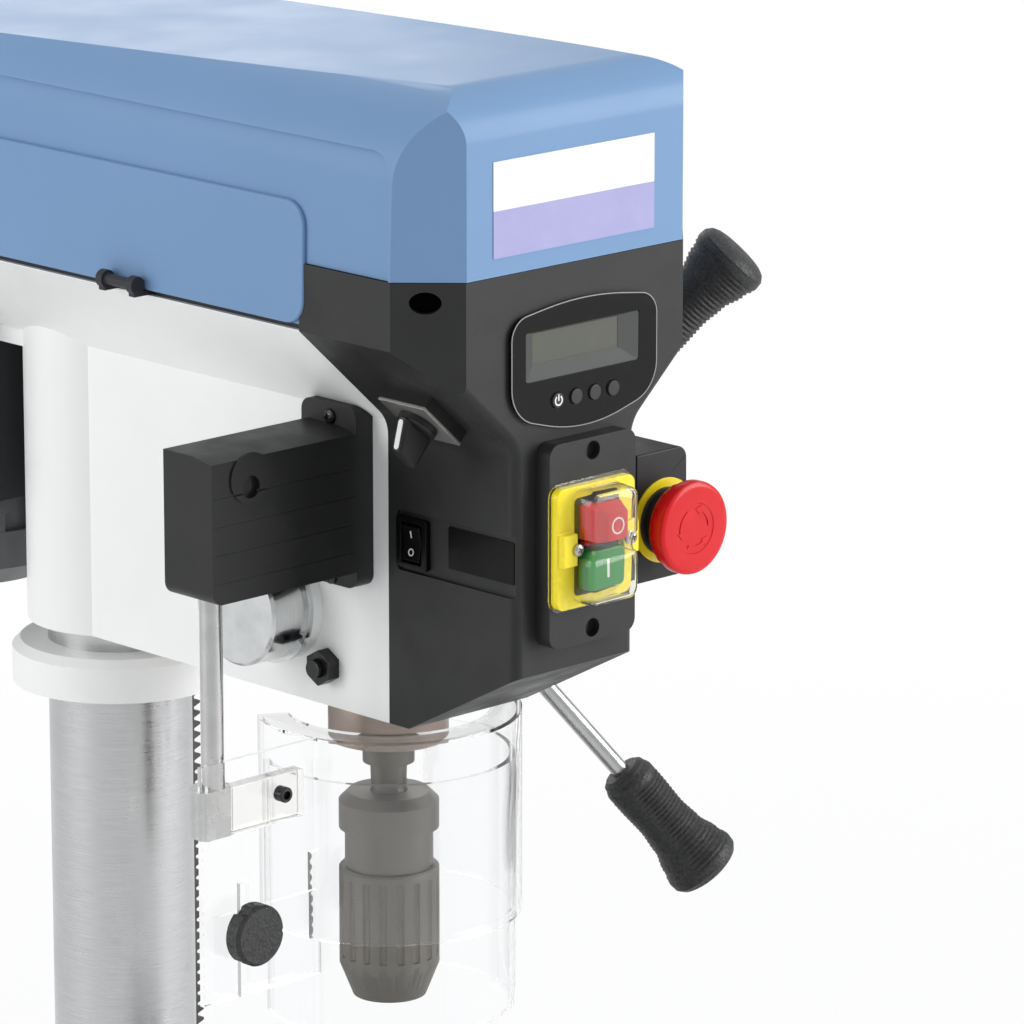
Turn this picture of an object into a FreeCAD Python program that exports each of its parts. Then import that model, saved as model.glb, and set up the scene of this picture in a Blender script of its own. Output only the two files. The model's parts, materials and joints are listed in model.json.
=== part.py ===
"""Bench drill press: a parametric assembly of separate pieces, in millimetres.

+Z is up, the operator stands at -Y and the feed handles are on +X. The origin lies on the floor, in the
middle of the base's four bolt holes.
"""
import FreeCAD, Part
import math
import os
import Sketcher

doc = FreeCAD.newDocument("bench_drill_press")

# Driving dimensions: lengths in millimetres, angles in degrees, counts and shares as their names say
DRIVING = {
    # base casting
    "base_width": 275, "base_length": 450, "base_height": 46, "base_top_wall": 14, "base_rim": 14,
    "base_rib": 10, "base_corner": 32, "base_cells_across_count": 3, "base_cells_along_count": 5,
    "base_bolt_inset": 24, "base_bolt_hole": 12, "work_pad_width": 224, "work_pad_length": 196,
    "work_pad_rise": 4, "work_pad_front_gap": 26, "base_slot_spacing": 120, "slot_width": 14,
    "base_slot_length": 130,
    # column, its flange and the lifting rack
    "column_diameter": 80, "column_wall": 6, "column_back": 135, "throat": 220, "flange_diameter": 168,
    "flange_plate": 16, "flange_neck": 112, "flange_height": 84, "flange_bolt_circle": 136,
    "flange_bolt": 12, "rack_groove_depth": 9, "rack_module": 2, "rack_thickness": 12, "rack_width": 16,
    "rack_ring_height": 24, "rack_ring_wall": 20, "rack_ring_gap": 12,
    # table, arm and lift
    "table_level": 350, "table_width": 300, "table_depth": 250, "table_thickness": 24,
    "table_corner": 18, "table_slot_spacing": 130, "table_slot_length": 160, "table_bore": 26,
    "table_rim_wall": 14, "table_recess": 10, "arm_wall": 18, "arm_height": 112, "arm_width": 54,
    "arm_reach": 108, "tilt_boss_diameter": 92, "tilt_boss_thickness": 16, "tilt_drop": 74,
    "tilt_bolt": 16, "lift_pinion_teeth_count": 14, "lift_wheel_radius": 18, "lift_wheel_width": 11,
    "worm_radius": 8, "crank_shaft": 14, "crank_length": 66, "crank_reach": 46, "crank_grip_length": 62,
    "crank_grip_diameter": 24, "lock_screw": 12, "lock_lever_length": 92, "clamp_gap": 4,
    # head casting, seen from the front: a narrow box that flares at 45 degrees to a wide tray
    "head_level": 660, "head_floor": 25, "head_low_width": 86, "flare_low": 188.6, "tray_level": 245.5,
    "head_top_width": 209, "tray_lip": 0.5, "console_back": 47, "clamp_diameter": 102, "tray_tail": 52,
    "pocket_wall": 9, "spring_boss_diameter": 66, "spring_boss_rise": 7, "hub_boss_diameter": 62,
    "hub_boss_rise": 10,
    # quill, spindle and feed
    "quill_diameter": 64.7, "quill_length": 172, "quill_bore": 36, "quill_stroke": 80,
    "quill_rack_module": 1.75, "pinion_teeth_count": 14, "pinion_back": 37, "pinion_rise": 77,
    "pinion_width": 36, "pinion_shaft": 21, "guide_screw": 10, "guide_rise": 47, "guide_groove": 4,
    "jam_nut_flats": 17, "jam_nut_thickness": 8, "spindle_diameter": 30, "spindle_nose": 28,
    "spindle_nose_length": 14, "spindle_collar": 33, "spindle_collar_length": 5, "spline_diameter": 18,
    "bearing_diameter": 47, "bearing_width": 15, "upper_bearing_diameter": 40, "arbor_diameter": 20,
    "arbor_length": 16,
    # chuck, measured down from the spindle nose
    "chuck_diameter": 54, "chuck_waist": 47.6, "chuck_top_length": 20, "chuck_waist_length": 21,
    "chuck_sleeve_length": 55, "chuck_cone_length": 18, "chuck_cone_diameter": 39.6, "chuck_dome": 5,
    "chuck_flutes_count": 18, "flute_depth": 1.2, "chuck_bore": 17, "jaw_diameter": 9,
    "jaw_length": 42, "jaw_angle": 10,
    # feed hub, rods and grips
    "hub_diameter": 62, "hub_length": 44, "hub_nose": 34, "rod_diameter": 10, "rod_rake": 30.6,
    "rod_first_angle": -63, "grip_start": 160, "grip_length": 78, "grip_neck": 26, "grip_head": 44,
    # return spring under its cap
    "cap_diameter": 62, "cap_length": 26, "cap_wall": 1.6, "spring_strip": 1, "spring_width": 14,
    "spring_turns_count": 5,
    # moulded front console
    "console_front": 142, "console_corner": 27, "seam_level": 280.4, "console_bend": 62,
    "console_lip_level": 68, "flare_round": 19, "pulley_recess": 136,
    # display
    "bezel_centre": 3.9, "bezel_width": 103.2, "bezel_bottom": 191.5, "bezel_shoulder": 256,
    "bezel_crown": 263.5, "bezel_thickness": 2.5, "bezel_hip": 206, "bezel_corner": 12,
    "bezel_hip_round": 20, "bezel_arch": 200, "bezel_foot_arch": 100, "lcd_width": 81, "lcd_height": 26,
    "lcd_centre_level": 236, "lcd_recess": 1.5, "key_diameter": 8, "key_pitch": 13.3, "key_level": 211,
    "key_travel": 1, "key_proud": 1.2,
    # start and stop switch
    "plate_centre": 2.5, "plate_level": 136, "plate_width": 62, "plate_height": 108,
    "plate_thickness": 10, "plate_corner": 7, "switch_width": 56, "switch_height": 64,
    "switch_depth": 5, "switch_corner": 5, "switch_centre": 0, "switch_level": 135.5,
    "switch_lug_width": 10, "switch_lug_height": 17, "switch_lug_rise": 4, "button_width": 26,
    "button_height": 21, "button_gap": 3, "button_travel": 3, "stop_proud": 13, "start_proud": 8,
    # emergency stop
    "estop_width": 37, "estop_height": 69, "estop_depth": 44, "estop_level": 137, "mushroom_level": 134,
    "estop_collar": 31, "estop_collar_length": 9, "mushroom_diameter": 49.5,
    "mushroom_length": 13, "mushroom_stem": 20, "estop_travel": 5,
    # rotary switch on the flare, and the lamp rocker
    "rotary_forward": 96.5, "rotary_share": 0.306, "rotary_plate_side": 34, "rotary_plate_thickness": 1.5,
    "rotary_block_rise": 7, "rotary_knob": 22, "rotary_collar": 4, "rotary_knob_length": 20,
    "rotary_bar": 8, "rotary_bar_length": 24, "rocker_forward": 65.5, "rocker_level": 126, "rocker_width": 13,
    "rocker_height": 19, "rocker_depth": 9, "rocker_proud": 2, "rocker_swing_room": 1.2,
    # chuck guard and its switch box
    "box_flange_width": 42, "box_flange_height": 97.5, "box_flange_thickness": 12, "box_flange_foot": 97,
    "box_front": 35.5, "box_depth": 37, "box_foot": 106.5, "box_top": 183.5, "box_bevel_depth": 14,
    "box_bevel_drop": 2.5, "box_reach": 100, "box_boss": 27, "box_boss_rise": 1.2,
    "box_boss_recess": 12, "box_boss_level": 170.5,
    "guard_rod": 12, "guard_rod_out": 134, "guard_rod_back": 10, "guard_diameter": 143,
    "guard_wall": 3, "guard_top": 16.5, "guard_upper_height": 112, "guard_lower_top": -8,
    "guard_lower_height": 140, "guard_mouth": 109, "guard_open_angle": 120, "wing_reach": 150,
    "bracket_height": 26, "bracket_thickness": 5, "guard_knob_level": -78, "guard_knob": 33,
    "guard_knob_length": 13, "guard_knob_out": 121, "guard_slide": 60,
    # belt drive
    "belt_thickness": 6, "step_height": 15, "step_small": 62, "step_rise": 19,
    "steps_count": 4, "pulley_foot": 255.5, "idler_back": 150, "motor_back": 358, "groove_wall": 2.5,
    "pulley_sleeve": 30, "idler_pivot_out": 50, "idler_post": 16,
    # motor and its carriage
    "motor_diameter": 130, "motor_foot": 28, "motor_length": 205, "motor_fins_count": 20, "fin_depth": 5,
    "motor_shaft": 19, "motor_plate_thickness": 8, "motor_plate_width": 150,
    "motor_plate_height": 150, "slide_bar": 16, "slide_bar_spacing": 100, "slide_bar_level": 218,
    "slide_bar_length": 58, "tension_travel": 8, "box_terminal": 90, "lever_length": 86,
    "lever_knob": 26,
    # belt cover
    "cover_wall": 2.5, "cover_top": 377, "cover_shoulder": 48, "cover_brow": 26, "cover_tail": 74,
    "cover_back": 430, "cover_overhang": 0.5, "cover_fall": 20, "tray_plate": 2.5, "tray_roll": 9, "hinge_pin": 6,
    # small fits
    "running_fit": 0.05, "seat_gap": 0.3, "overrun": 1,
}

sheet = doc.addObject("Spreadsheet::Sheet", "Sizes")
for row, (alias, value) in enumerate(DRIVING.items(), 1):
    sheet.set(f"A{row}", alias.replace("_", " "))
    sheet.set(f"B{row}", str(value))
    sheet.setAlias(f"B{row}", alias)
doc.recompute()


class Size:
    """A number that remembers the formula tying it to the sheet, so that features can be bound to it."""

    def __init__(self, number, formula):
        self.number = number
        self.formula = formula

    def __add__(self, other):
        return Size(self.number + plain(other), f"({self.formula} + {written(other)})")

    def __radd__(self, other):
        return Size(plain(other) + self.number, f"({written(other)} + {self.formula})")

    def __sub__(self, other):
        return Size(self.number - plain(other), f"({self.formula} - {written(other)})")

    def __rsub__(self, other):
        return Size(plain(other) - self.number, f"({written(other)} - {self.formula})")

    def __mul__(self, other):
        return Size(self.number * plain(other), f"({self.formula} * {written(other)})")

    __rmul__ = __mul__

    def __truediv__(self, other):
        return Size(self.number / plain(other), f"({self.formula} / {written(other)})")

    def __neg__(self):
        return Size(-self.number, f"(0 - {self.formula})")


def plain(size):
    return size.number if isinstance(size, Size) else float(size)


def written(size):
    return size.formula if isinstance(size, Size) else f"({size!r})"


class Sizes:
    """Every driving dimension by its alias, read back from the sheet."""


d = Sizes()
for alias in DRIVING:
    setattr(d, alias, Size(float(sheet.get(alias)), f"Sizes.{alias}"))


def whole(count):
    return int(round(plain(count)))


def bind(thing, name, size):
    if isinstance(size, Size):
        thing.setExpression(name, size.formula)


def place(thing, at, rotation=None):
    if rotation is not None:
        thing.Placement = FreeCAD.Placement(FreeCAD.Vector(0, 0, 0), rotation)
    for axis, size in zip("xyz", at):
        bind(thing, f"Placement.Base.{axis}", size)
    return thing


def turn_to(direction):
    """The rotation that takes +Z to a direction."""
    return FreeCAD.Rotation(FreeCAD.Vector(0, 0, 1), FreeCAD.Vector(*direction))


UP = turn_to((0, 0, 1))
RIGHT = FreeCAD.Rotation(FreeCAD.Vector(0, 1, 0), 90)
LEFT = FreeCAD.Rotation(FreeCAD.Vector(0, 1, 0), -90)
FORWARD = FreeCAD.Rotation(FreeCAD.Vector(1, 0, 0), 90)
BACKWARD = FreeCAD.Rotation(FreeCAD.Vector(1, 0, 0), -90)

nodes = {}


def node(label, thing):
    """Registers a finished sub-part under its own label."""
    thing.Label = label
    nodes[label] = thing
    return thing


# Part Design helpers: a body, sketches on its origin planes, and the features drawn from them
def new_body(label, at=(0, 0, 0), rotation=None):
    body = doc.addObject("PartDesign::Body", label)
    place(body, at, rotation)
    return node(label, body)


def origin_feature(body, role):
    return next(feature for feature in body.Origin.OriginFeatures if feature.Role == role)


def circle(radius, x=0, y=0):
    return ("circle", radius, x, y)


def rectangle(width, height, x=0, y=0):
    """A rectangle about its centre."""
    return [(x - width / 2, y - height / 2), (x + width / 2, y - height / 2),
            (x + width / 2, y + height / 2), (x - width / 2, y + height / 2)]


def span(x_low, x_high, y_low, y_high):
    """A rectangle between its sides."""
    return [(x_low, y_low), (x_high, y_low), (x_high, y_high), (x_low, y_high)]


def fix(sketch, kind, geometry, point, size):
    number = plain(size)
    index = sketch.addConstraint(Sketcher.Constraint(kind, -1, 1, geometry, point, number))
    bind(sketch, f"Constraints[{index}]", size)


def add_circle(sketch, radius, x, y):
    centre = FreeCAD.Vector(plain(x), plain(y), 0)
    index = sketch.addGeometry(Part.Circle(centre, FreeCAD.Vector(0, 0, 1), plain(radius)), False)
    fix(sketch, "DistanceX", index, 3, x)
    fix(sketch, "DistanceY", index, 3, y)
    constraint = sketch.addConstraint(Sketcher.Constraint("Radius", index, plain(radius)))
    bind(sketch, f"Constraints[{constraint}]", radius)


def add_polygon(sketch, points):
    corners = [FreeCAD.Vector(plain(x), plain(y), 0) for x, y in points]
    first = sketch.GeometryCount
    for index, corner in enumerate(corners):
        line = Part.LineSegment(corner, corners[(index + 1) % len(corners)])
        sketch.addGeometry(line, False)
    for index in range(len(corners)):
        follower = first + (index + 1) % len(corners)
        sketch.addConstraint(Sketcher.Constraint("Coincident", first + index, 2, follower, 1))
    for index, (x, y) in enumerate(points):
        fix(sketch, "DistanceX", first + index, 1, x)
        fix(sketch, "DistanceY", first + index, 1, y)


def sketch_on(body, plane, offset, outlines):
    sketch = body.newObject("Sketcher::SketchObject", f"{body.Name}_outline")
    sketch.AttachmentSupport = (origin_feature(body, f"{plane}_Plane"), [""])
    sketch.MapMode = "FlatFace"
    bind(sketch, "AttachmentOffset.Base.z", offset)
    for outline in outlines:
        if outline[0] == "circle":
            add_circle(sketch, *outline[1:])
        else:
            add_polygon(sketch, outline)
    return sketch


def pad(body, plane, start, length, *outlines):
    """Adds material from the start offset along the plane's normal."""
    feature = body.newObject("PartDesign::Pad", f"{body.Name}_pad")
    feature.Profile = sketch_on(body, plane, start, outlines)
    bind(feature, "Length", length)
    return feature


def pocket(body, plane, start, length, *outlines):
    """Removes material from the start offset along the plane's normal."""
    feature = body.newObject("PartDesign::Pocket", f"{body.Name}_pocket")
    feature.Profile = sketch_on(body, plane, start, outlines)
    feature.Reversed = True
    bind(feature, "Length", length)
    return feature


def revolve(body, *outlines, kind="Revolution"):
    """Turns outlines of (radius, height) about the body's Z axis."""
    feature = body.newObject(f"PartDesign::{kind}", f"{body.Name}_turned")
    sketch = sketch_on(body, "XZ", 0, outlines)
    feature.Profile = sketch
    feature.ReferenceAxis = (sketch, ["V_Axis"])
    feature.Angle = 360
    return feature


def polar(body, feature, count, role="Z_Axis"):
    pattern = body.newObject("PartDesign::PolarPattern", f"{body.Name}_ring")
    pattern.Originals = [feature]
    pattern.Axis = (origin_feature(body, role), [""])
    pattern.Angle = 360
    bind(pattern, "Occurrences", count)
    body.Tip = pattern
    return pattern


def edges_at(shape, places):
    """The names of the edges that pass through the given places."""
    found = []
    for place_of_edge in places:
        point = Part.Vertex(FreeCAD.Vector(*[plain(size) for size in place_of_edge]))
        gaps = [(edge.distToShape(point)[0], index) for index, edge in enumerate(shape.Edges, 1)]
        gap, index = min(gaps)
        if gap > plain(d.seat_gap):
            raise RuntimeError(f"no edge near {place_of_edge}")
        found.append(f"Edge{index}")
    return sorted(set(found))


def blend(body, kind, size, *places):
    """Rounds or chamfers the edges that pass through the given places."""
    doc.recompute()
    base = body.Tip
    feature = body.newObject(f"PartDesign::{kind}", f"{body.Name}_{kind.lower()}")
    feature.Base = (base, edges_at(base.Shape, places))
    bind(feature, "Radius" if kind == "Fillet" else "Size", size)
    return feature


# Part workbench helpers
def block(width, depth, height, at=(0, 0, 0), rotation=None):
    """A box about its own centre in X and Y that rises from its base point."""
    box = doc.addObject("Part::Box", "block")
    bind(box, "Length", width)
    bind(box, "Width", depth)
    bind(box, "Height", height)
    return place(box, (at[0] - width / 2, at[1] - depth / 2, at[2]), rotation)


def rod(radius, length, at=(0, 0, 0), rotation=UP):
    cylinder = doc.addObject("Part::Cylinder", "rod")
    bind(cylinder, "Radius", radius)
    bind(cylinder, "Height", length)
    return place(cylinder, at, rotation)


def ball(radius, at):
    sphere = doc.addObject("Part::Sphere", "ball")
    bind(sphere, "Radius", radius)
    return place(sphere, at)


def hexagon(flats, height, at=(0, 0, 0), rotation=UP):
    prism = doc.addObject("Part::Prism", "hexagon")
    prism.Polygon = 6
    bind(prism, "Circumradius", flats / 2 / math.cos(math.radians(30)))
    bind(prism, "Height", height)
    return place(prism, at, rotation)


def fused(*shapes):
    result = doc.addObject("Part::MultiFuse", "fused")
    result.Shapes = list(shapes)
    result.Refine = True
    return result


def cut(base, *tools):
    result = doc.addObject("Part::Cut", "cut")
    result.Base = base
    result.Tool = tools[0] if len(tools) == 1 else fused(*tools)
    result.Refine = True
    return result


def common(*shapes):
    result = doc.addObject("Part::MultiCommon", "common")
    result.Shapes = list(shapes)
    result.Refine = True
    return result


def group(*shapes):
    result = doc.addObject("Part::Compound", "group")
    result.Links = list(shapes)
    return result


def tube(outer, inner, length, at=(0, 0, 0), rotation=UP):
    bore = rod(inner, length + d.overrun * 2, (0, 0, -d.overrun))
    return place(cut(rod(outer, length), bore), at, rotation)


def solid(label, shape, at):
    """A sub-part whose outline is made by formula."""
    feature = doc.addObject("Part::Feature", label)
    feature.Shape = shape
    place(feature, at)
    return node(label, feature)


# Places that several pieces share
spindle_y = d.column_back - d.throat
column_at = (0, d.column_back, 0)
head_at = (0, spindle_y, d.head_level)
column_radius = d.column_diameter / 2
flange_seat = d.base_height + d.work_pad_rise
ring_foot = d.head_level + d.head_floor - d.rack_ring_gap - d.rack_ring_height


def at_head(x, forward, level):
    """A place given from the spindle axis: to the right, forward and above the quill's face."""
    return (x, spindle_y - forward, d.head_level + level)


def make_base():
    body = new_body("base_casting")
    half_width, half_length = d.base_width / 2, d.base_length / 2
    pad(body, "XY", 0, d.base_height, rectangle(d.base_width, d.base_length))
    middle = d.base_height / 2
    corners = [(x, y, middle) for x in (-half_width, half_width) for y in (-half_length, half_length)]
    blend(body, "Fillet", d.base_corner, *corners)
    pad_y = d.work_pad_front_gap + d.work_pad_length / 2 - half_length
    pad(body, "XY", d.base_height, d.work_pad_rise,
        rectangle(d.work_pad_width, d.work_pad_length, 0, pad_y),
        circle(d.flange_diameter / 2 + d.base_rib, 0, d.column_back))
    # open cells under the top wall
    across, along = whole(d.base_cells_across_count), whole(d.base_cells_along_count)
    cell_width = (d.base_width - d.base_rim * 2 - d.base_rib * (across - 1)) / across
    cell_length = (d.base_length - d.base_rim * 2 - d.base_rib * (along - 1)) / along
    cells = []
    for column in range(across):
        for row in range(along):
            x = (cell_width + d.base_rib) * (column - (across - 1) / 2)
            y = (cell_length + d.base_rib) * (row - (along - 1) / 2)
            if column in (0, across - 1) and row in (0, along - 1):
                continue
            cells.append(rectangle(cell_width, cell_length, x, y))
    pocket(body, "XY", 0, d.base_height - d.base_top_wall, *cells)
    # two clamping slots, the bolt holes and the tapped holes under the flange
    through = d.base_height + d.work_pad_rise + d.overrun * 2
    half_slot = d.base_slot_length / 2 - d.slot_width / 2
    slot_x = d.base_slot_spacing / 2
    pocket(body, "XY", -d.overrun, through,
           *[rectangle(d.slot_width, half_slot * 2, side * slot_x, pad_y) for side in (-1, 1)])
    pocket(body, "XY", -d.overrun, through,
           *[circle(d.slot_width / 2, side * slot_x, pad_y + end * half_slot)
             for side in (-1, 1) for end in (-1, 1)])
    bolt_x, bolt_y = half_width - d.base_bolt_inset, half_length - d.base_bolt_inset
    pocket(body, "XY", -d.overrun, through,
           *[circle(d.base_bolt_hole / 2, side * bolt_x, end * bolt_y)
             for side in (-1, 1) for end in (-1, 1)])
    tapped = [circle(d.flange_bolt / 2 + d.running_fit, x, d.column_back + y) for x, y in flange_bolt_places()]
    pocket(body, "XY", d.base_height - d.base_top_wall, through, *tapped)


def flange_bolt_places():
    reach = d.flange_bolt_circle / 2 * math.sqrt(0.5)
    return [(x * reach, y * reach) for x in (-1, 1) for y in (-1, 1)]


def make_column():
    flange = new_body("column_flange", (0, d.column_back, flange_seat))
    bore = column_radius + d.running_fit
    outer, neck = d.flange_diameter / 2, d.flange_neck / 2
    groove = column_radius + d.rack_thickness + d.seat_gap * 4
    revolve(flange, [(bore, 0), (outer, 0), (outer, d.flange_plate), (neck, d.flange_plate * 2),
                     (neck, d.flange_height), (groove, d.flange_height),
                     (groove, d.flange_height - d.rack_groove_depth),
                     (bore, d.flange_height - d.rack_groove_depth)])
    holes = [circle(d.flange_bolt / 2 + d.seat_gap, x, y) for x, y in flange_bolt_places()]
    pocket(flange, "XY", -d.overrun, d.flange_plate * 2, *holes)
    seats = [circle(d.flange_bolt * 1.1, x, y) for x, y in flange_bolt_places()]
    pocket(flange, "XY", d.flange_plate, d.flange_plate, *seats)

    bolts = []
    for x, y in flange_bolt_places():
        top = flange_seat + d.flange_plate
        shank = d.flange_plate + d.base_top_wall
        bolts.append(fused(hexagon(d.flange_bolt * 1.5, d.flange_bolt * 0.6, (x, d.column_back + y, top)),
                           rod(d.flange_bolt / 2, shank, (x, d.column_back + y, top - shank))))
    node("column_flange_bolts", group(*bolts))

    length = d.head_level + d.tray_level - d.pocket_wall - flange_seat
    node("column_tube", tube(column_radius, column_radius - d.column_wall, length,
                             (0, d.column_back, flange_seat)))

    ring = new_body("rack_ring", (0, d.column_back, ring_foot))
    ring_radius = column_radius + d.rack_ring_wall
    revolve(ring, [(bore, d.rack_groove_depth), (groove, d.rack_groove_depth), (groove, 0),
                   (ring_radius, 0), (ring_radius, d.rack_ring_height - d.rack_groove_depth / 2),
                   (ring_radius - d.rack_groove_depth / 2, d.rack_ring_height), (bore, d.rack_ring_height)])
    pocket(ring, "YZ", column_radius, d.rack_ring_wall + d.overrun,
           circle(d.lock_screw / 4, 0, d.rack_ring_height * 0.7))


def rack_outline(module, teeth, back, pitch_line):
    """A straight rack's outline: teeth point to +X and stand along +Y, from a flat back."""
    pitch = math.pi * module
    tip, root = pitch_line + module, pitch_line - 1.25 * module
    # half widths of a 20 degree tooth, less a little backlash
    flank = math.tan(math.radians(20))
    half = pitch / 4 * 0.94
    half_tip, half_root = half - module * flank, half + 1.25 * module * flank
    points = [(back, 0)]
    for tooth in range(teeth):
        middle = (tooth + 0.5) * pitch
        points += [(root, middle - half_root), (tip, middle - half_tip),
                   (tip, middle + half_tip), (root, middle + half_root)]
    points.append((back, teeth * pitch))
    return points


def gear_outline(module, teeth, phase_degrees):
    """A spur gear's outline with straight 20 degree flanks."""
    pitch_radius = module * teeth / 2
    tip, root = pitch_radius + module, pitch_radius - 1.25 * module
    step = 2 * math.pi / teeth
    half = step / 4 * 0.94
    half_tip, half_root = half * 0.42, half * 1.5
    points = []
    for tooth in range(teeth):
        middle = math.radians(phase_degrees) + tooth * step
        for radius, angle in ((root, middle - half_root), (tip, middle - half_tip),
                              (tip, middle + half_tip), (root, middle + half_root)):
            points.append((radius * math.cos(angle), radius * math.sin(angle)))
    return points


def standing(x, y, along):
    """An outline in the XZ plane, swept forward."""
    return FreeCAD.Vector(x, -along, y)


def sideways(x, y, along):
    """An outline in the YZ plane, swept to the right."""
    return FreeCAD.Vector(along, x, y)


def prism(points, start, length, lay):
    """The solid that an outline sweeps, laid in one of the two planes above."""
    corners = [lay(x, y, start) for x, y in points]
    face = Part.Face(Part.makePolygon(corners + corners[:1]))
    return face.extrude(lay(0, 0, start + length) - lay(0, 0, start))


lift_module = plain(d.rack_module)
lift_pitch = math.pi * lift_module
rack_foot = flange_seat + d.flange_height - d.rack_groove_depth + d.seat_gap
rack_pitch_line = column_radius + d.rack_thickness - d.rack_module
lift_axis = rack_pitch_line + d.rack_module * d.lift_pinion_teeth_count / 2
arm_foot = d.table_level - d.tilt_drop - d.arm_height / 2
gear_level = arm_foot + d.arm_height / 2


def make_rack():
    teeth = int((plain(ring_foot + d.rack_groove_depth - d.seat_gap) - plain(rack_foot)) / lift_pitch)
    outline = rack_outline(lift_module, teeth, plain(column_radius + d.seat_gap), plain(rack_pitch_line))
    shape = prism(outline, -plain(d.rack_width) / 2, plain(d.rack_width), standing)
    solid("table_rack", shape, (0, d.column_back, rack_foot))


def lift_gear_phase():
    """The angle that puts a tooth gap of the lift pinion over a tooth of the rack."""
    height = plain(gear_level) - plain(rack_foot)
    offset = (height / lift_pitch - 0.5) % 1.0
    # the rack tooth below the axis by `offset` pitches meets a gap on the pinion's left side
    turn = 360 / plain(d.lift_pinion_teeth_count)
    return 180 + turn * (offset + 0.5)


def make_table_arm():
    body = new_body("table_arm", (0, d.column_back, arm_foot))
    wall = column_radius + d.arm_wall
    bore = column_radius + d.running_fit
    height = d.arm_height
    pad(body, "XY", 0, height, circle(wall))
    # the arm: a box beam that narrows towards the tilt boss
    half = d.arm_width / 2
    pad(body, "XY", height * 0.18, height * 0.64,
        [(-half, -column_radius), (-half * 0.8, -d.arm_reach), (half * 0.8, -d.arm_reach),
         (half, -column_radius)])
    # tilt boss on the arm's end
    pad(body, "XZ", d.arm_reach, d.tilt_boss_thickness, circle(d.tilt_boss_diameter / 2, 0, height / 2))
    # housing of the lift gear on the right
    gear_room = d.rack_module * (d.lift_pinion_teeth_count / 2 + 1) + d.seat_gap * 3
    house_right = lift_axis + gear_room + d.arm_wall / 2
    worm_level = height / 2 - d.lift_wheel_radius - d.worm_radius - d.seat_gap
    house_low = worm_level - d.worm_radius - d.arm_wall / 2
    house_high = height / 2 + d.lift_wheel_radius + d.arm_wall / 2
    wheel_far = d.rack_width / 2 + d.lift_wheel_width + d.seat_gap * 2
    pad(body, "XY", house_low, house_high - house_low,
        span(column_radius, house_right, -wheel_far - d.arm_wall / 2, d.rack_width / 2 + d.arm_wall / 2))
    # clamping ears at the back left
    ear = d.arm_wall
    pad(body, "YZ", -wall - d.arm_wall, d.arm_wall * 2,
        span(-ear - d.clamp_gap / 2, ear + d.clamp_gap / 2, height * 0.12, height * 0.88))
    pocket(body, "XY", -d.overrun, height + d.overrun * 2, circle(bore))
    # way for the rack, split of the clamp, and the room of the gear and worm
    rack_room = d.rack_width / 2 + d.seat_gap
    pocket(body, "XY", -d.overrun, height + d.overrun * 2,
           span(column_radius * 0.8, column_radius + d.rack_thickness + d.seat_gap, -rack_room, rack_room))
    pocket(body, "XY", -d.overrun, height + d.overrun * 2,
           span(-wall - d.arm_wall - d.overrun, -column_radius * 0.8, -d.clamp_gap / 2, d.clamp_gap / 2))
    pocket(body, "XZ", -rack_room, rack_room * 2, circle(gear_room, lift_axis, height / 2))
    pocket(body, "XZ", rack_room - d.overrun, d.lift_wheel_width + d.seat_gap + d.overrun,
           circle(d.lift_wheel_radius + d.seat_gap, lift_axis, height / 2))
    worm_y = -d.rack_width / 2 - d.lift_wheel_width / 2 - d.seat_gap
    rack_face = column_radius + d.rack_thickness + d.seat_gap
    pocket(body, "YZ", rack_face, house_right,
           circle(d.worm_radius + d.seat_gap, worm_y, worm_level))
    # bores of the tilt bolt and the clamp screw
    pocket(body, "XZ", d.arm_reach * 0.72, d.arm_reach, circle(d.tilt_bolt / 2 + d.running_fit, 0, height / 2))
    pocket(body, "XZ", -ear - d.clamp_gap, (ear + d.clamp_gap) * 2,
           circle(d.lock_screw / 2 + d.running_fit, -wall - d.arm_wall / 2, height / 2))
    return worm_y, worm_level


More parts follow.
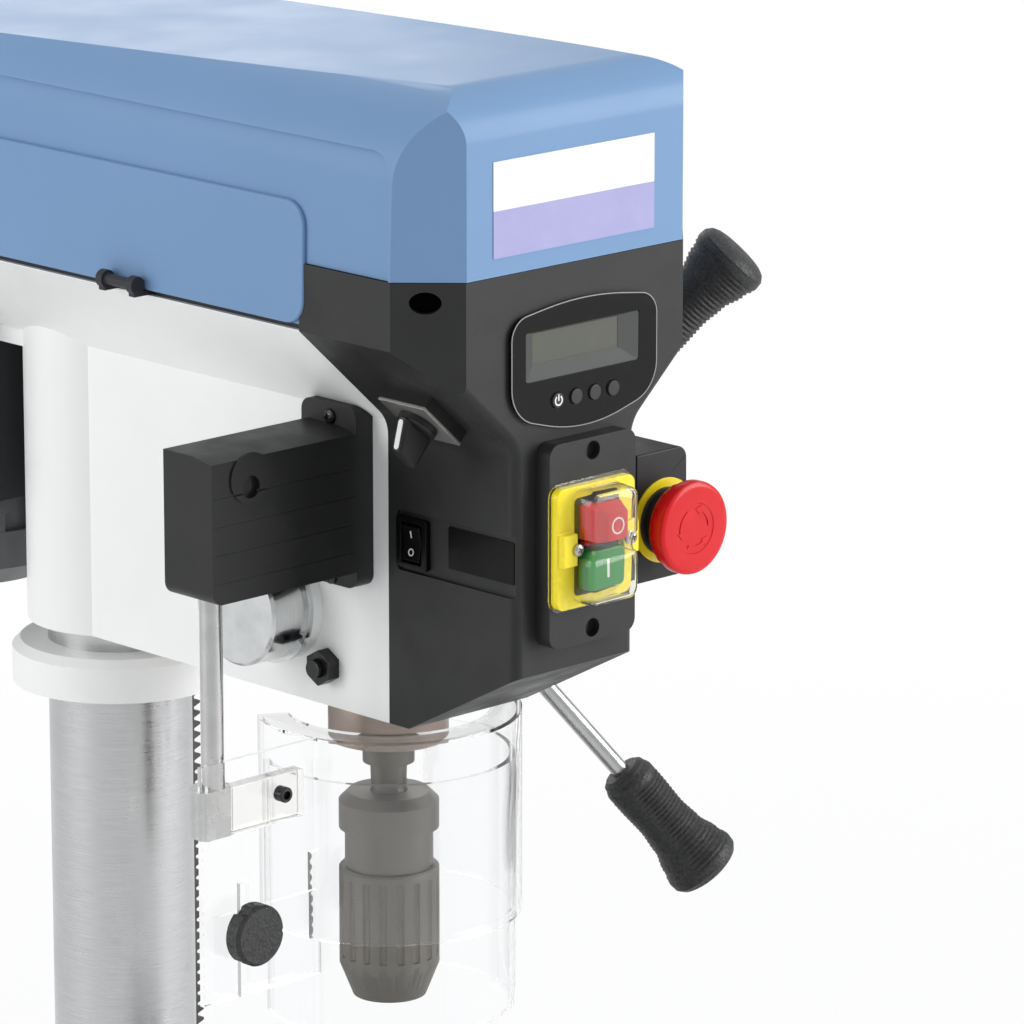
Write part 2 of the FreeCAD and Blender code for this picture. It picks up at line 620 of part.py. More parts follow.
def make_lift_drive(worm_y, worm_level):
    module, teeth = lift_module, whole(d.lift_pinion_teeth_count)
    half_width = plain(d.rack_width) / 2
    pinion = prism(gear_outline(module, teeth, lift_gear_phase()), -half_width, half_width * 2, standing)
    wheel_radius, wheel_width = plain(d.lift_wheel_radius), plain(d.lift_wheel_width)
    wheel_start = FreeCAD.Vector(0, -half_width, 0)
    wheel = Part.makeCylinder(wheel_radius, wheel_width, wheel_start, FreeCAD.Vector(0, -1, 0))
    gear = pinion.fuse(wheel).removeSplitter()
    solid("lift_gear", gear, (lift_axis, d.column_back, gear_level))

    # crank: worm shaft, arm and the pin that carries the grip
    shaft_y = d.column_back + worm_y
    level = arm_foot + worm_level
    start = column_radius + d.rack_thickness + d.seat_gap * 3
    gear_room = d.rack_module * (d.lift_pinion_teeth_count / 2 + 1) + d.seat_gap * 3
    house_right = lift_axis + gear_room + d.arm_wall / 2
    worm_length = house_right - start - d.seat_gap * 2
    arm_x = house_right + d.crank_reach
    arm_thick = d.crank_shaft * 0.6
    hub = rod(d.crank_shaft * 0.85, arm_thick * 2, (arm_x - arm_thick, shaft_y, level), RIGHT)
    web = block(arm_thick, d.crank_shaft, d.crank_length, (arm_x, shaft_y, level))
    eye = rod(d.crank_shaft * 0.75, arm_thick, (arm_x - arm_thick / 2, shaft_y, level + d.crank_length), RIGHT)
    pin_start = arm_x + arm_thick / 2
    pin = rod(d.crank_shaft / 4, d.crank_grip_length + arm_thick,
              (arm_x, shaft_y, level + d.crank_length), RIGHT)
    head = rod(d.crank_shaft * 0.4, arm_thick / 2,
               (pin_start + d.crank_grip_length + d.seat_gap * 2, shaft_y, level + d.crank_length), RIGHT)
    node("table_crank", fused(rod(d.worm_radius, worm_length, (start, shaft_y, level), RIGHT),
                              rod(d.crank_shaft / 2, arm_x - start, (start, shaft_y, level), RIGHT),
                              hub, web, eye, pin, head))
    grip = new_body("crank_grip", (pin_start + d.seat_gap, shaft_y, level + d.crank_length), RIGHT)
    bore, wide = d.crank_shaft / 4 + d.running_fit, d.crank_grip_diameter / 2
    length = d.crank_grip_length
    revolve(grip, [(bore, 0), (wide * 0.7, 0), (wide * 0.8, length * 0.06), (wide, length * 0.55),
                   (wide * 0.95, length * 0.85), (wide * 0.65, length), (bore, length)])

    # clamp lever through the ears
    lever_x = -column_radius - d.arm_wall * 1.5
    reach = d.arm_wall + d.clamp_gap
    lever_z = arm_foot + d.arm_height / 2
    screw = rod(d.lock_screw / 2, reach * 2, (lever_x, d.column_back - reach, lever_z), BACKWARD)
    boss_y = d.column_back - d.arm_wall - d.clamp_gap / 2 - d.seat_gap
    boss = rod(d.lock_screw * 0.9, d.lock_screw * 1.3, (lever_x, boss_y, lever_z), FORWARD)
    tilt = turn_to((0, -0.35, -1))
    arm_y = boss_y - d.lock_screw * 0.65
    arm = rod(d.lock_screw / 3, d.lock_lever_length, (lever_x, arm_y, lever_z), tilt)
    tip = (lever_x, arm_y - d.lock_lever_length * 0.33, lever_z - d.lock_lever_length * 0.944)
    node("table_lock_lever", fused(screw, boss, arm, ball(d.lock_screw * 0.85, tip)))


def make_table():
    arm_face = d.column_back - d.arm_reach - d.tilt_boss_thickness
    body = new_body("table_plate", (0, spindle_y, d.table_level))
    pad(body, "XY", -d.table_thickness, d.table_thickness, rectangle(d.table_width, d.table_depth))
    side_x, side_y = d.table_width / 2, d.table_depth / 2
    middle = -d.table_thickness / 2
    blend(body, "Fillet", d.table_corner,
          *[(x * side_x, y * side_y, middle) for x in (-1, 1) for y in (-1, 1)])
    # bracket under the plate, with the boss that turns on the arm
    boss_back = arm_face - spindle_y
    boss = d.tilt_boss_diameter / 2
    drop = d.tilt_drop
    face = boss_back - d.seat_gap
    thick = d.tilt_boss_thickness
    pad(body, "XZ", -face, thick, circle(boss, 0, -drop))
    pad(body, "XZ", -face, thick, span(-boss, boss, -drop, -d.table_thickness / 2))
    for side in (-1, 1):
        rib = side * boss * 0.75
        pad(body, "YZ", rib - d.table_rim_wall / 2, d.table_rim_wall,
            [(face - thick / 2, -d.table_thickness / 2), (face - thick / 2, -drop - boss * 0.4),
             (-side_y * 0.6, -d.table_thickness - d.table_recess), (-side_y * 0.6, -d.table_thickness / 2)])
    # recess under the plate beside the bracket, so that the plate has a rim
    rim = d.table_rim_wall
    room = (d.table_width / 2 - rim - boss - rim / 2)
    for side in (-1, 1):
        centre = side * (boss + rim / 2 + room / 2)
        pocket(body, "XY", -d.table_thickness, d.table_recess,
               rectangle(room, d.table_depth / 3 - rim, centre, d.table_depth / 3),
               rectangle(room, d.table_depth / 3 - rim, centre, 0),
               rectangle(room, d.table_depth / 3 - rim, centre, -d.table_depth / 3))
    # slots, centre hole and tilt bolt hole
    through = d.table_thickness + d.table_recess + d.overrun * 2
    half_slot = d.table_slot_length / 2 - d.slot_width / 2
    slot_x = d.table_slot_spacing / 2
    low = -d.table_thickness - d.overrun
    pocket(body, "XY", low, through,
           *[rectangle(d.slot_width, half_slot * 2, side * slot_x, 0) for side in (-1, 1)])
    pocket(body, "XY", low, through,
           *[circle(d.slot_width / 2, side * slot_x, end * half_slot)
             for side in (-1, 1) for end in (-1, 1)])
    pocket(body, "XY", low, through, circle(d.table_bore / 2))
    pocket(body, "XZ", -face - d.overrun, thick + d.overrun * 2,
           circle(d.tilt_bolt / 2 + d.running_fit, 0, -drop))

    # the bolt that clamps table and arm, with its head in front
    level = d.table_level - drop
    head_y = spindle_y + face - thick
    length = thick + d.tilt_boss_thickness + d.arm_reach * 0.25
    node("tilt_bolt", fused(hexagon(d.tilt_bolt * 1.5, d.tilt_bolt * 0.65, (0, head_y, level), FORWARD),
                            rod(d.tilt_bolt / 2, length, (0, head_y, level), BACKWARD)))


make_base()
make_column()
make_rack()
worm_place = make_table_arm()
make_lift_drive(*worm_place)
make_table()


# The head, measured from the spindle axis at the quill's lower face
low_half = d.head_low_width / 2
top_half = d.head_top_width / 2
flare_run = top_half - low_half
flare_rise = d.tray_level - d.tray_lip - d.flare_low
flare_slope = math.hypot(plain(flare_run), plain(flare_rise))
# the direction that the left flare faces: down and to the left
flare_face = (-plain(flare_rise) / flare_slope, 0, -plain(flare_run) / flare_slope)
tray_back = d.throat + d.tray_tail
clamp_radius = d.clamp_diameter / 2
tray_top = d.tray_level + d.tray_plate
cover_half = top_half + d.cover_overhang


def flare_section(foot, top):
    return [(-low_half, foot), (low_half, foot), (low_half, d.flare_low),
            (top_half, d.tray_level - d.tray_lip), (top_half, top), (-top_half, top),
            (-top_half, d.tray_level - d.tray_lip), (-low_half, d.flare_low)]


def make_head():
    body = new_body("head_casting", head_at)
    wall = d.pocket_wall
    pad(body, "XZ", -d.throat, d.throat + d.console_back, flare_section(d.head_floor, d.tray_level))
    pad(body, "XZ", -tray_back, d.tray_tail + d.overrun, flare_section(d.flare_low - wall, d.tray_level))
    clamp_height = d.flare_low - d.head_floor + wall
    pad(body, "XY", d.head_floor, clamp_height, circle(clamp_radius, 0, d.throat))
    # bosses of the return spring on the left and of the feed hub on the right
    pad(body, "YZ", -low_half - d.spring_boss_rise, d.spring_boss_rise + wall,
        circle(d.spring_boss_diameter / 2, d.pinion_back, d.pinion_rise))
    pad(body, "YZ", low_half - wall, wall + d.hub_boss_rise,
        circle(d.hub_boss_diameter / 2, d.pinion_back, d.pinion_rise))
    # two hollows between quill and column, either side of a middle rib
    hollow_start = d.throat - clamp_radius
    hollow_length = hollow_start - d.pinion_back * 2
    for side in (-1, 1):
        rib, inner, outer = side * wall / 2, side * (low_half - wall), side * (top_half - wall)
        pocket(body, "XZ", -hollow_start, hollow_length,
               [(rib, d.head_floor + wall), (inner, d.head_floor + wall), (inner, d.flare_low + wall * 0.6),
                (outer, d.tray_level - d.tray_lip), (outer, d.tray_level + d.overrun),
                (rib, d.tray_level + d.overrun)])
    # bores: quill, pulley sleeve and its bearings, column, idler pivot, pinion and its shaft
    through = d.tray_level + d.overrun * 2
    pocket(body, "XY", d.head_floor - d.overrun, d.quill_length - d.head_floor + d.seat_gap * 10,
           circle(d.quill_diameter / 2 + d.running_fit))
    pocket(body, "XY", d.quill_length, through, circle(d.upper_bearing_diameter / 2 + d.running_fit))
    pocket(body, "XY", d.head_floor - d.overrun, d.tray_level - wall - d.head_floor + d.overrun,
           circle(column_radius + d.running_fit, 0, d.throat))
    pocket(body, "XY", d.flare_low + wall * 2, through,
           circle(d.idler_post / 2 + d.running_fit, d.idler_pivot_out, d.quill_stroke / 2))
    shaft_bore = d.pinion_shaft / 2 + d.running_fit
    pocket(body, "YZ", -d.throat, d.throat * 2, circle(shaft_bore, d.pinion_back, d.pinion_rise))
    pinion_room = d.quill_rack_module * (d.pinion_teeth_count / 2 + 1) + d.seat_gap
    pocket(body, "YZ", -d.pinion_width / 2 - d.seat_gap, d.pinion_width + d.seat_gap * 2,
           circle(pinion_room, d.pinion_back, d.pinion_rise))
    # holes of the slide bars, the tension shaft, the guide screw and the clamp screws
    for side in (-1, 1):
        pocket(body, "XZ", -tray_back - d.overrun, d.slide_bar_length,
               circle(d.slide_bar / 2 + d.running_fit, side * d.slide_bar_spacing / 2, d.slide_bar_level))
    pocket(body, "YZ", low_half / 2, top_half, circle(d.lock_screw / 2 + d.running_fit, *tension_place))
    pocket(body, "YZ", -low_half - d.overrun, low_half,
           circle(d.guide_screw / 2 + d.running_fit, 0, d.guide_rise))
    for level in clamp_screw_levels:
        pocket(body, "YZ", column_radius / 2, clamp_radius,
               circle(d.lock_screw / 2 + d.running_fit, d.throat, level))


tension_place = (tray_back - d.lock_screw * 1.1, d.flare_low + d.lock_screw)
clamp_screw_levels = (d.head_floor * 2.2, d.flare_low * 0.72)


def make_quill():
    radius = d.quill_diameter / 2
    bearing = d.bearing_diameter / 2 + d.running_fit
    top_bearing = d.upper_bearing_diameter / 2 + d.running_fit
    body = new_body("quill_sleeve", head_at)
    lip = d.spindle_collar_length
    revolve(body, [(bearing, lip), (bearing - lip / 2, lip), (bearing - lip / 2, 0), (radius, 0),
                   (radius, d.quill_length), (top_bearing, d.quill_length),
                   (top_bearing, d.quill_length - d.bearing_width),
                   (d.quill_bore / 2, d.quill_length - d.bearing_width),
                   (d.quill_bore / 2, lip + d.bearing_width), (bearing, lip + d.bearing_width)])
    # rack down the back: a milled flat and a row of tooth gaps
    module, teeth = d.quill_rack_module, d.pinion_teeth_count
    pitch_line = d.pinion_back - module * teeth / 2
    tip, root = pitch_line + module, pitch_line - module * 1.25
    rack_start = d.pinion_rise - module * teeth * 0.6
    rack_length = d.quill_length - rack_start
    pocket(body, "YZ", -radius, radius * 2,
           span(tip, radius + d.overrun, rack_start, d.quill_length + d.overrun))
    pitch = module * math.pi
    flank = math.tan(math.radians(20))
    half_tip = pitch / 4 * 1.06 + module * flank
    half_root = pitch / 4 * 1.06 - module * 1.25 * flank
    first = rack_start + pitch
    gap = pocket(body, "YZ", -radius, radius * 2,
                 [(root, first - half_root), (root, first + half_root),
                  (tip + d.seat_gap, first + half_tip), (tip + d.seat_gap, first - half_tip)])
    row = body.newObject("PartDesign::LinearPattern", "rack_row")
    row.Originals = [gap]
    row.Direction = (origin_feature(body, "Z_Axis"), [""])
    count = int(plain(rack_length) / plain(pitch)) - 1
    bind(row, "Length", pitch * (count - 1))
    row.Occurrences = count
    body.Tip = row
    # guide groove on the left
    half = d.guide_screw * 0.4
    pocket(body, "YZ", -radius - d.overrun, d.guide_groove + d.overrun,
           span(-half - d.seat_gap, half + d.seat_gap, d.guide_rise - half * 1.5,
                d.guide_rise + d.quill_stroke + half * 1.5))

    level = lip + d.seat_gap / 6
    lower = tube(d.bearing_diameter / 2, d.spindle_diameter / 2 + d.running_fit,
                 d.bearing_width - d.running_fit, at_head(0, 0, level))
    upper = tube(d.upper_bearing_diameter / 2, d.spline_diameter / 2 + d.running_fit * 2,
                 d.bearing_width - d.running_fit * 2,
                 at_head(0, 0, d.quill_length - d.bearing_width + d.running_fit))
    node("quill_bearings", group(lower, upper))
    return first, pitch


def make_spindle():
    body = new_body("spindle_shaft", head_at)
    nose, collar = d.spindle_nose / 2, d.spindle_collar / 2
    shaft, spline, arbor = d.spindle_diameter / 2, d.spline_diameter / 2, d.arbor_diameter / 2
    upper = d.quill_length - d.bearing_width * 2
    foot = d.spindle_nose_length + d.arbor_length + d.chuck_top_length * 0.7
    axis_end = d.pulley_foot + d.step_height * d.steps_count - d.spindle_collar_length
    revolve(body, [(0, -foot), (arbor * 0.9, -foot), (arbor, -d.spindle_nose_length),
                   (nose, -d.spindle_nose_length), (nose, -d.spindle_collar_length),
                   (collar, -d.spindle_collar_length), (collar, -d.seat_gap),
                   (shaft, -d.seat_gap), (shaft, upper), (spline, upper), (spline, axis_end), (0, axis_end)])


chuck_head = d.spindle_nose_length + d.arbor_length
chuck_neck = chuck_head + d.chuck_top_length
chuck_seam = chuck_neck + d.chuck_waist_length
chuck_cone_top = chuck_seam + d.chuck_sleeve_length
chuck_end = chuck_cone_top + d.chuck_cone_length
sleeve_bore = d.chuck_diameter / 2 - d.chuck_dome * 0.7


def make_chuck():
    body = new_body("chuck_body", head_at)
    outer, waist = d.chuck_diameter / 2, d.chuck_waist / 2
    core, core_end = sleeve_bore - d.running_fit, d.chuck_cone_diameter / 2 - d.chuck_dome * 0.8
    arbor = d.arbor_diameter / 2
    socket = chuck_head + d.chuck_top_length * 0.7
    bore = d.chuck_bore / 2
    bore_top = chuck_end - d.chuck_sleeve_length
    revolve(body, [(arbor + d.running_fit, -chuck_head), (outer - d.chuck_dome, -chuck_head),
                   (outer, -chuck_head - d.chuck_dome), (outer, -chuck_neck), (waist, -chuck_neck),
                   (waist, -chuck_seam), (core, -chuck_seam), (core, -chuck_cone_top), (core_end, -chuck_end),
                   (bore, -chuck_end), (bore, -bore_top), (0, -bore_top + bore / 2), (0, -socket),
                   (arbor + d.running_fit, -socket)])
    jaw_holes = []
    for index in range(3):
        base, direction = jaw_line(index)
        start = [base[axis] - direction[axis] * plain(d.jaw_length) * 0.1 for axis in range(3)]
        hole = Part.makeCylinder(plain(d.jaw_diameter / 2 + d.running_fit), plain(d.jaw_length * 1.72),
                                 FreeCAD.Vector(*start), FreeCAD.Vector(*direction))
        feature = doc.addObject("Part::Feature", "jaw_hole")
        feature.Shape = hole
        jaw_holes.append(place(feature, head_at))
    doc.recompute()
    drilled = cut(body, *jaw_holes)
    node("chuck_body", drilled)
    body.Label = "chuck_blank"

    sleeve = new_body("chuck_sleeve", head_at)
    end = d.chuck_cone_diameter / 2
    gap = d.seat_gap
    revolve(sleeve, [(sleeve_bore, -chuck_seam - gap), (outer - d.flute_depth, -chuck_seam - gap),
                     (outer, -chuck_seam - gap - d.flute_depth), (outer, -chuck_cone_top), (end, -chuck_end),
                     (core_end + d.running_fit * 2, -chuck_end), (sleeve_bore, -chuck_cone_top - d.running_fit)])
    flute = pocket(sleeve, "XY", -chuck_cone_top + d.chuck_dome, d.chuck_sleeve_length - d.chuck_dome * 2,
                   circle(d.flute_depth * 2, outer + d.flute_depth, 0))
    polar(sleeve, flute, d.chuck_flutes_count)

    for index in range(3):
        base, direction = jaw_line(index)
        radius = plain(d.jaw_diameter / 2)
        jaw = Part.makeCylinder(radius, plain(d.jaw_length), FreeCAD.Vector(*base),
                                FreeCAD.Vector(*direction))
        # the gripping face stands upright beside the axis; the tip is level with the chuck's end
        reach = plain(d.jaw_length) * 3
        tip_room = Part.makeBox(reach, reach, reach,
                                FreeCAD.Vector(-reach / 2, -reach / 2, -plain(chuck_end) - reach))
        face_gap = plain(d.seat_gap) * 2
        angle = index * 120
        beyond = Part.makeBox(reach, reach, reach,
                              FreeCAD.Vector(face_gap - reach, -reach / 2, -plain(chuck_end)))
        beyond.rotate(FreeCAD.Vector(0, 0, 0), FreeCAD.Vector(0, 0, 1), angle)
        # flanks at 60 degrees keep the three tips apart
        for side in (-1, 1):
            flank = Part.makeBox(reach, reach, reach, FreeCAD.Vector(-reach / 2, 0, -plain(chuck_end)))
            if side < 0:
                flank = Part.makeBox(reach, reach, reach, FreeCAD.Vector(-reach / 2, -reach, -plain(chuck_end)))
            flank.rotate(FreeCAD.Vector(0, 0, 0), FreeCAD.Vector(0, 0, 1), side * 58)
            flank.translate(FreeCAD.Vector(face_gap, 0, 0))
            flank.rotate(FreeCAD.Vector(0, 0, 0), FreeCAD.Vector(0, 0, 1), angle)
            jaw = jaw.cut(flank)
        jaw = jaw.cut(tip_room).cut(beyond)
        solid(f"chuck_jaw_{index + 1}", jaw, head_at)


def jaw_line(index):
    """Where a jaw's axis leaves the chuck's end, and which way it leans, about the spindle."""
    angle = math.radians(index * 120)
    lean = math.radians(plain(d.jaw_angle))
    start = plain(d.jaw_diameter) / 2 * 0.95
    base = (start * math.cos(angle), start * math.sin(angle), -plain(chuck_end))
    direction = (math.sin(lean) * math.cos(angle), math.sin(lean) * math.sin(angle), math.cos(lean))
    return base, direction


def make_feed(first_gap, pitch):
    hub_face = low_half + d.hub_boss_rise + d.seat_gap
    module, teeth = plain(d.quill_rack_module), whole(d.pinion_teeth_count)
    # a pinion tooth has to stand in a gap of the quill's rack
    offset = (plain(d.pinion_rise) - plain(first_gap)) / plain(pitch)
    phase = 180 + 360 / teeth * (offset % 1.0)
    width = plain(d.pinion_width)
    gear = prism(gear_outline(module, teeth, phase), -width / 2, width, sideways)
    left = plain(low_half + d.spring_boss_rise + d.cap_length * 0.6)
    right = plain(hub_face + d.hub_length * 0.6)
    core = plain(d.quill_rack_module * (d.pinion_teeth_count / 2 - 1.25))
    shaft_radius = plain(d.pinion_shaft) / 2 - plain(d.running_fit)
    along = FreeCAD.Vector(1, 0, 0)
    shaft = Part.makeCylinder(min(core, shaft_radius), left + right, FreeCAD.Vector(-left, 0, 0), along)
    for start, end in ((-plain(low_half + d.spring_boss_rise), -width / 2), (width / 2, right)):
        shaft = shaft.fuse(Part.makeCylinder(shaft_radius, end - start, FreeCAD.Vector(start, 0, 0), along))
    slit = plain(d.spring_strip) * 1.5
    slit_box = Part.makeBox(plain(d.cap_length) / 2, slit, core * 3,
                            FreeCAD.Vector(-left - plain(d.overrun), -slit / 2, -core * 1.5))
    solid("pinion_shaft", gear.fuse(shaft).cut(slit_box).removeSplitter(), pinion_at)

    hub = new_body("feed_hub", (hub_face, spindle_y + d.pinion_back, d.head_level + d.pinion_rise), RIGHT)
    radius, length, nose = d.hub_diameter / 2, d.hub_length, d.hub_nose / 2
    bore = d.pinion_shaft / 2 + d.running_fit
    revolve(hub, [(bore, 0), (radius, 0), (radius, length * 0.25), (nose * 1.35, length * 0.78),
                  (nose, length * 0.94), (nose * 0.55, length), (0, length), (0, length * 0.6 + d.seat_gap),
                  (bore, length * 0.6 + d.seat_gap)])
    rods, grips, sockets = [], [], []
    rake = math.radians(plain(d.rod_rake))
    rod_root = d.pinion_shaft * 0.8
    centre = (hub_face + d.hub_length * 0.36, spindle_y + d.pinion_back, d.head_level + d.pinion_rise)
    for index in range(3):
        angle = math.radians(plain(d.rod_first_angle) + index * 120)
        direction = (math.sin(rake), -math.cos(rake) * math.cos(angle), math.cos(rake) * math.sin(angle))
        root = [centre[axis] + rod_root * direction[axis] for axis in range(3)]
        end = d.grip_start + d.grip_length - rod_root
        rods.append(rod(d.rod_diameter / 2, end - d.grip_length * 0.15, root, turn_to(direction)))
        sockets.append(rod(d.rod_diameter / 2 + d.running_fit, end, root, turn_to(direction)))
        start = [centre[axis] + d.grip_start * direction[axis] for axis in range(3)]
        grip = doc.addObject("PartDesign::Body", "grip")
        place(grip, start, turn_to(direction))
        hole, size = d.rod_diameter / 2 + d.running_fit, d.grip_length
        neck, head = d.grip_neck / 2, d.grip_head / 2
        revolve(grip, [(hole, 0), (neck * 0.8, 0), (neck, size * 0.05), (neck * 0.92, size * 0.35),
                       (neck * 1.1, size * 0.62), (head * 0.94, size * 0.84), (head, size * 0.9),
                       (head * 0.86, size * 0.97), (head * 0.5, size), (0, size), (0, size * 0.86),
                       (hole, size * 0.86)])
        grips.append(grip)
    drilled = cut(hub, *sockets)
    node("feed_hub", drilled)
    hub.Label = "hub_blank"
    node("feed_rods", group(*rods))
    node("feed_grips", group(*grips))


pinion_at = at_head(0, -d.pinion_back, d.pinion_rise)


def make_return_spring():
    base = -low_half - d.spring_boss_rise
    cap_at = (base - d.running_fit, spindle_y + d.pinion_back, d.head_level + d.pinion_rise)
    cap = new_body("spring_cap", cap_at, LEFT)
    radius, length, wall = d.cap_diameter / 2, d.cap_length, d.cap_wall
    rim = radius + wall * 1.5
    revolve(cap, [(radius - wall, 0), (rim, 0), (rim, wall * 2), (radius, wall * 2), (radius, length - wall),
                  (radius - wall, length), (radius * 0.9, length), (0, length), (0, length - wall),
                  (radius - wall, length - wall)])
    notch = pocket(cap, "XY", -d.overrun, wall * 2 + d.overrun * 2,
                   rectangle(wall * 3, wall * 3, rim, 0))
    polar(cap, notch, 8)
    strip, turns = plain(d.spring_strip), whole(d.spring_turns_count)
    inner = plain(d.quill_rack_module * (d.pinion_teeth_count / 2 - 1.25) + d.seat_gap * 2)
    outer = plain(radius - wall - d.spring_strip * 2)
    steps = turns * 14
    sides = ([], [])
    for step in range(steps + 1):
        angle = 2 * math.pi * turns * step / steps
        reach = inner + (outer - inner) * step / steps
        for side, offset in zip(sides, (0, strip)):
            side.append(((reach + offset) * math.cos(angle), (reach + offset) * math.sin(angle)))
    outline = sides[0] + sides[1][::-1]
    start = plain(base) - plain(d.spring_width) - plain(d.seat_gap)
    coil = prism(outline, start, plain(d.spring_width), sideways)
    solid("return_spring", coil, pinion_at)


def make_console():
    body = new_body("front_console", head_at)
    depth = d.console_front - d.console_back
    pad(body, "XZ", d.console_back, depth, flare_section(d.head_floor, d.seam_level))
    middle = -(d.console_front + d.console_back) / 2
    blend(body, "Fillet", d.flare_round, (-low_half, middle, d.flare_low), (low_half, middle, d.flare_low))
    # corners cut at 45 degrees in plan
    edge = top_half + d.overrun
    front = -d.console_front - d.overrun
    for side in (-1, 1):
        pocket(body, "XY", d.flare_low - d.flare_round, d.seam_level,
               [(side * edge, front), (side * (top_half - d.console_corner - d.overrun), front),
                (side * edge, -d.console_front + d.console_corner + d.overrun)])
    # the underside rises to a lip in front
    pocket(body, "YZ", -top_half, top_half * 2,
           [(front, d.head_floor - d.overrun), (front, d.console_lip_level),
            (-d.console_bend, d.head_floor), (-d.console_bend, d.head_floor - d.overrun)])
    lower = (d.console_lip_level + d.flare_low) / 2
    blend(body, "Fillet", d.plate_corner * 0.8,
          (-low_half, -d.console_front, lower), (low_half, -d.console_front, lower))
    # room for the front pulley, the rocker, the keys and the emergency stop's block
    pocket(body, "XY", tray_top, d.tray_level, circle(d.pulley_recess / 2))
    pocket(body, "YZ", -low_half - d.overrun, d.rocker_depth + d.overrun,
           rectangle(d.rocker_width + d.seat_gap * 2, d.rocker_height + d.rocker_swing_room * 2,
                     -d.rocker_forward, d.rocker_level))
    pocket(body, "XZ", d.console_front - d.key_travel * 4, d.key_travel * 4 + d.overrun,
           *[circle(d.key_diameter / 2 + d.seat_gap, x, d.key_level) for x in key_places()])


def key_places():
    return [d.bezel_centre + d.key_pitch * (index - 1.5) for index in range(4)]


def make_display():
    bezel = new_body("display_bezel", head_at)
    centre, half = d.bezel_centre, d.bezel_width / 2
    bottom, hip, shoulder, crown = d.bezel_bottom, d.bezel_hip, d.bezel_shoulder, d.bezel_crown
    pad(bezel, "XZ", d.console_front, d.bezel_thickness,
        [(centre, bottom), (centre + half, hip), (centre + half, shoulder), (centre, crown),
         (centre - half, shoulder), (centre - half, hip)])
    depth = -(d.console_front + d.bezel_thickness / 2)
    for size, level in ((d.bezel_corner, shoulder), (d.bezel_hip_round, hip)):
        blend(bezel, "Fillet", size, (centre - half, depth, level), (centre + half, depth, level))
    blend(bezel, "Fillet", d.bezel_arch, (centre, depth, crown))
    blend(bezel, "Fillet", d.bezel_foot_arch, (centre, depth, bottom))
    pocket(bezel, "XZ", d.console_front + d.bezel_thickness - d.lcd_recess, d.lcd_recess + d.overrun,
           rectangle(d.lcd_width, d.lcd_height, centre - d.lcd_recess, d.lcd_centre_level))
    pocket(bezel, "XZ", d.console_front - d.overrun, d.bezel_thickness + d.overrun * 2,
           *[circle(d.key_diameter / 2 + d.seat_gap, x, d.key_level) for x in key_places()])
    reach = d.bezel_thickness + d.key_travel * 2 + d.key_proud
    for index, x in enumerate(key_places(), 1):
        key_at = at_head(x, d.console_front - d.key_travel * 2, d.key_level)
        key = new_body(f"display_button_{index}", key_at, FORWARD)
        pad(key, "XY", 0, reach, circle(d.key_diameter / 2))


def make_switch():
    front = d.console_front
    plate = new_body("switch_plate", head_at)
    pad(plate, "XZ", front, d.plate_thickness,
        rectangle(d.plate_width, d.plate_height, d.plate_centre, d.plate_level))
    half_width, half_height = d.plate_width / 2, d.plate_height / 2
    depth = -(front + d.plate_thickness / 2)
    blend(plate, "Fillet", d.plate_corner,
          *[(d.plate_centre + x * half_width, depth, d.plate_level + z * half_height)
            for x in (-1, 1) for z in (-1, 1)])
    pocket(plate, "XZ", front + d.plate_thickness / 2, d.plate_thickness,
           *[circle(d.plate_corner * 0.7, d.plate_centre, d.plate_level + side * (half_height - d.plate_corner))
             for side in (-1, 1)])

    face = front + d.plate_thickness
    box = new_body("switch_housing", head_at)
    centre, level = d.switch_centre, d.switch_level
    pad(box, "XZ", face, d.switch_depth, rectangle(d.switch_width, d.switch_height, centre, level))
    half_width, half_height = d.switch_width / 2, d.switch_height / 2
    depth = -(face + d.switch_depth / 2)
    blend(box, "Fillet", d.switch_corner,
          *[(centre + x * half_width, depth, level + z * half_height) for x in (-1, 1) for z in (-1, 1)])
    # two screw lugs stand proud of the frame beside the buttons
    lug = half_width - d.switch_lug_width / 2 - d.overrun
    pad(box, "XZ", face, d.switch_depth + d.switch_lug_rise,
        *[rectangle(d.switch_lug_width, d.switch_lug_height, centre + side * lug, level) for side in (-1, 1)])
    spots = (level + (d.button_height + d.button_gap) / 2, level - (d.button_height + d.button_gap) / 2)
    room = d.seat_gap
    pocket(box, "XZ", face + d.overrun, d.switch_depth + d.overrun,
           *[rectangle(d.button_width + room * 2, d.button_height + room * 2, centre, spot) for spot in spots])
    start = face + d.overrun + d.button_travel + room
    for label, spot, proud in (("stop_button", spots[0], d.stop_proud), ("start_button", spots[1], d.start_proud)):
        button = new_body(label, head_at)
        length = face + d.switch_depth + proud - start
        pad(button, "XZ", start, length, rectangle(d.button_width, d.button_height, centre, spot))
        corner = d.switch_corner * 0.6
        blend(button, "Fillet", corner,
              *[(centre + x * d.button_width / 2, -start - length / 2, spot + z * d.button_height / 2)
                for x in (-1, 1) for z in (-1, 1)])


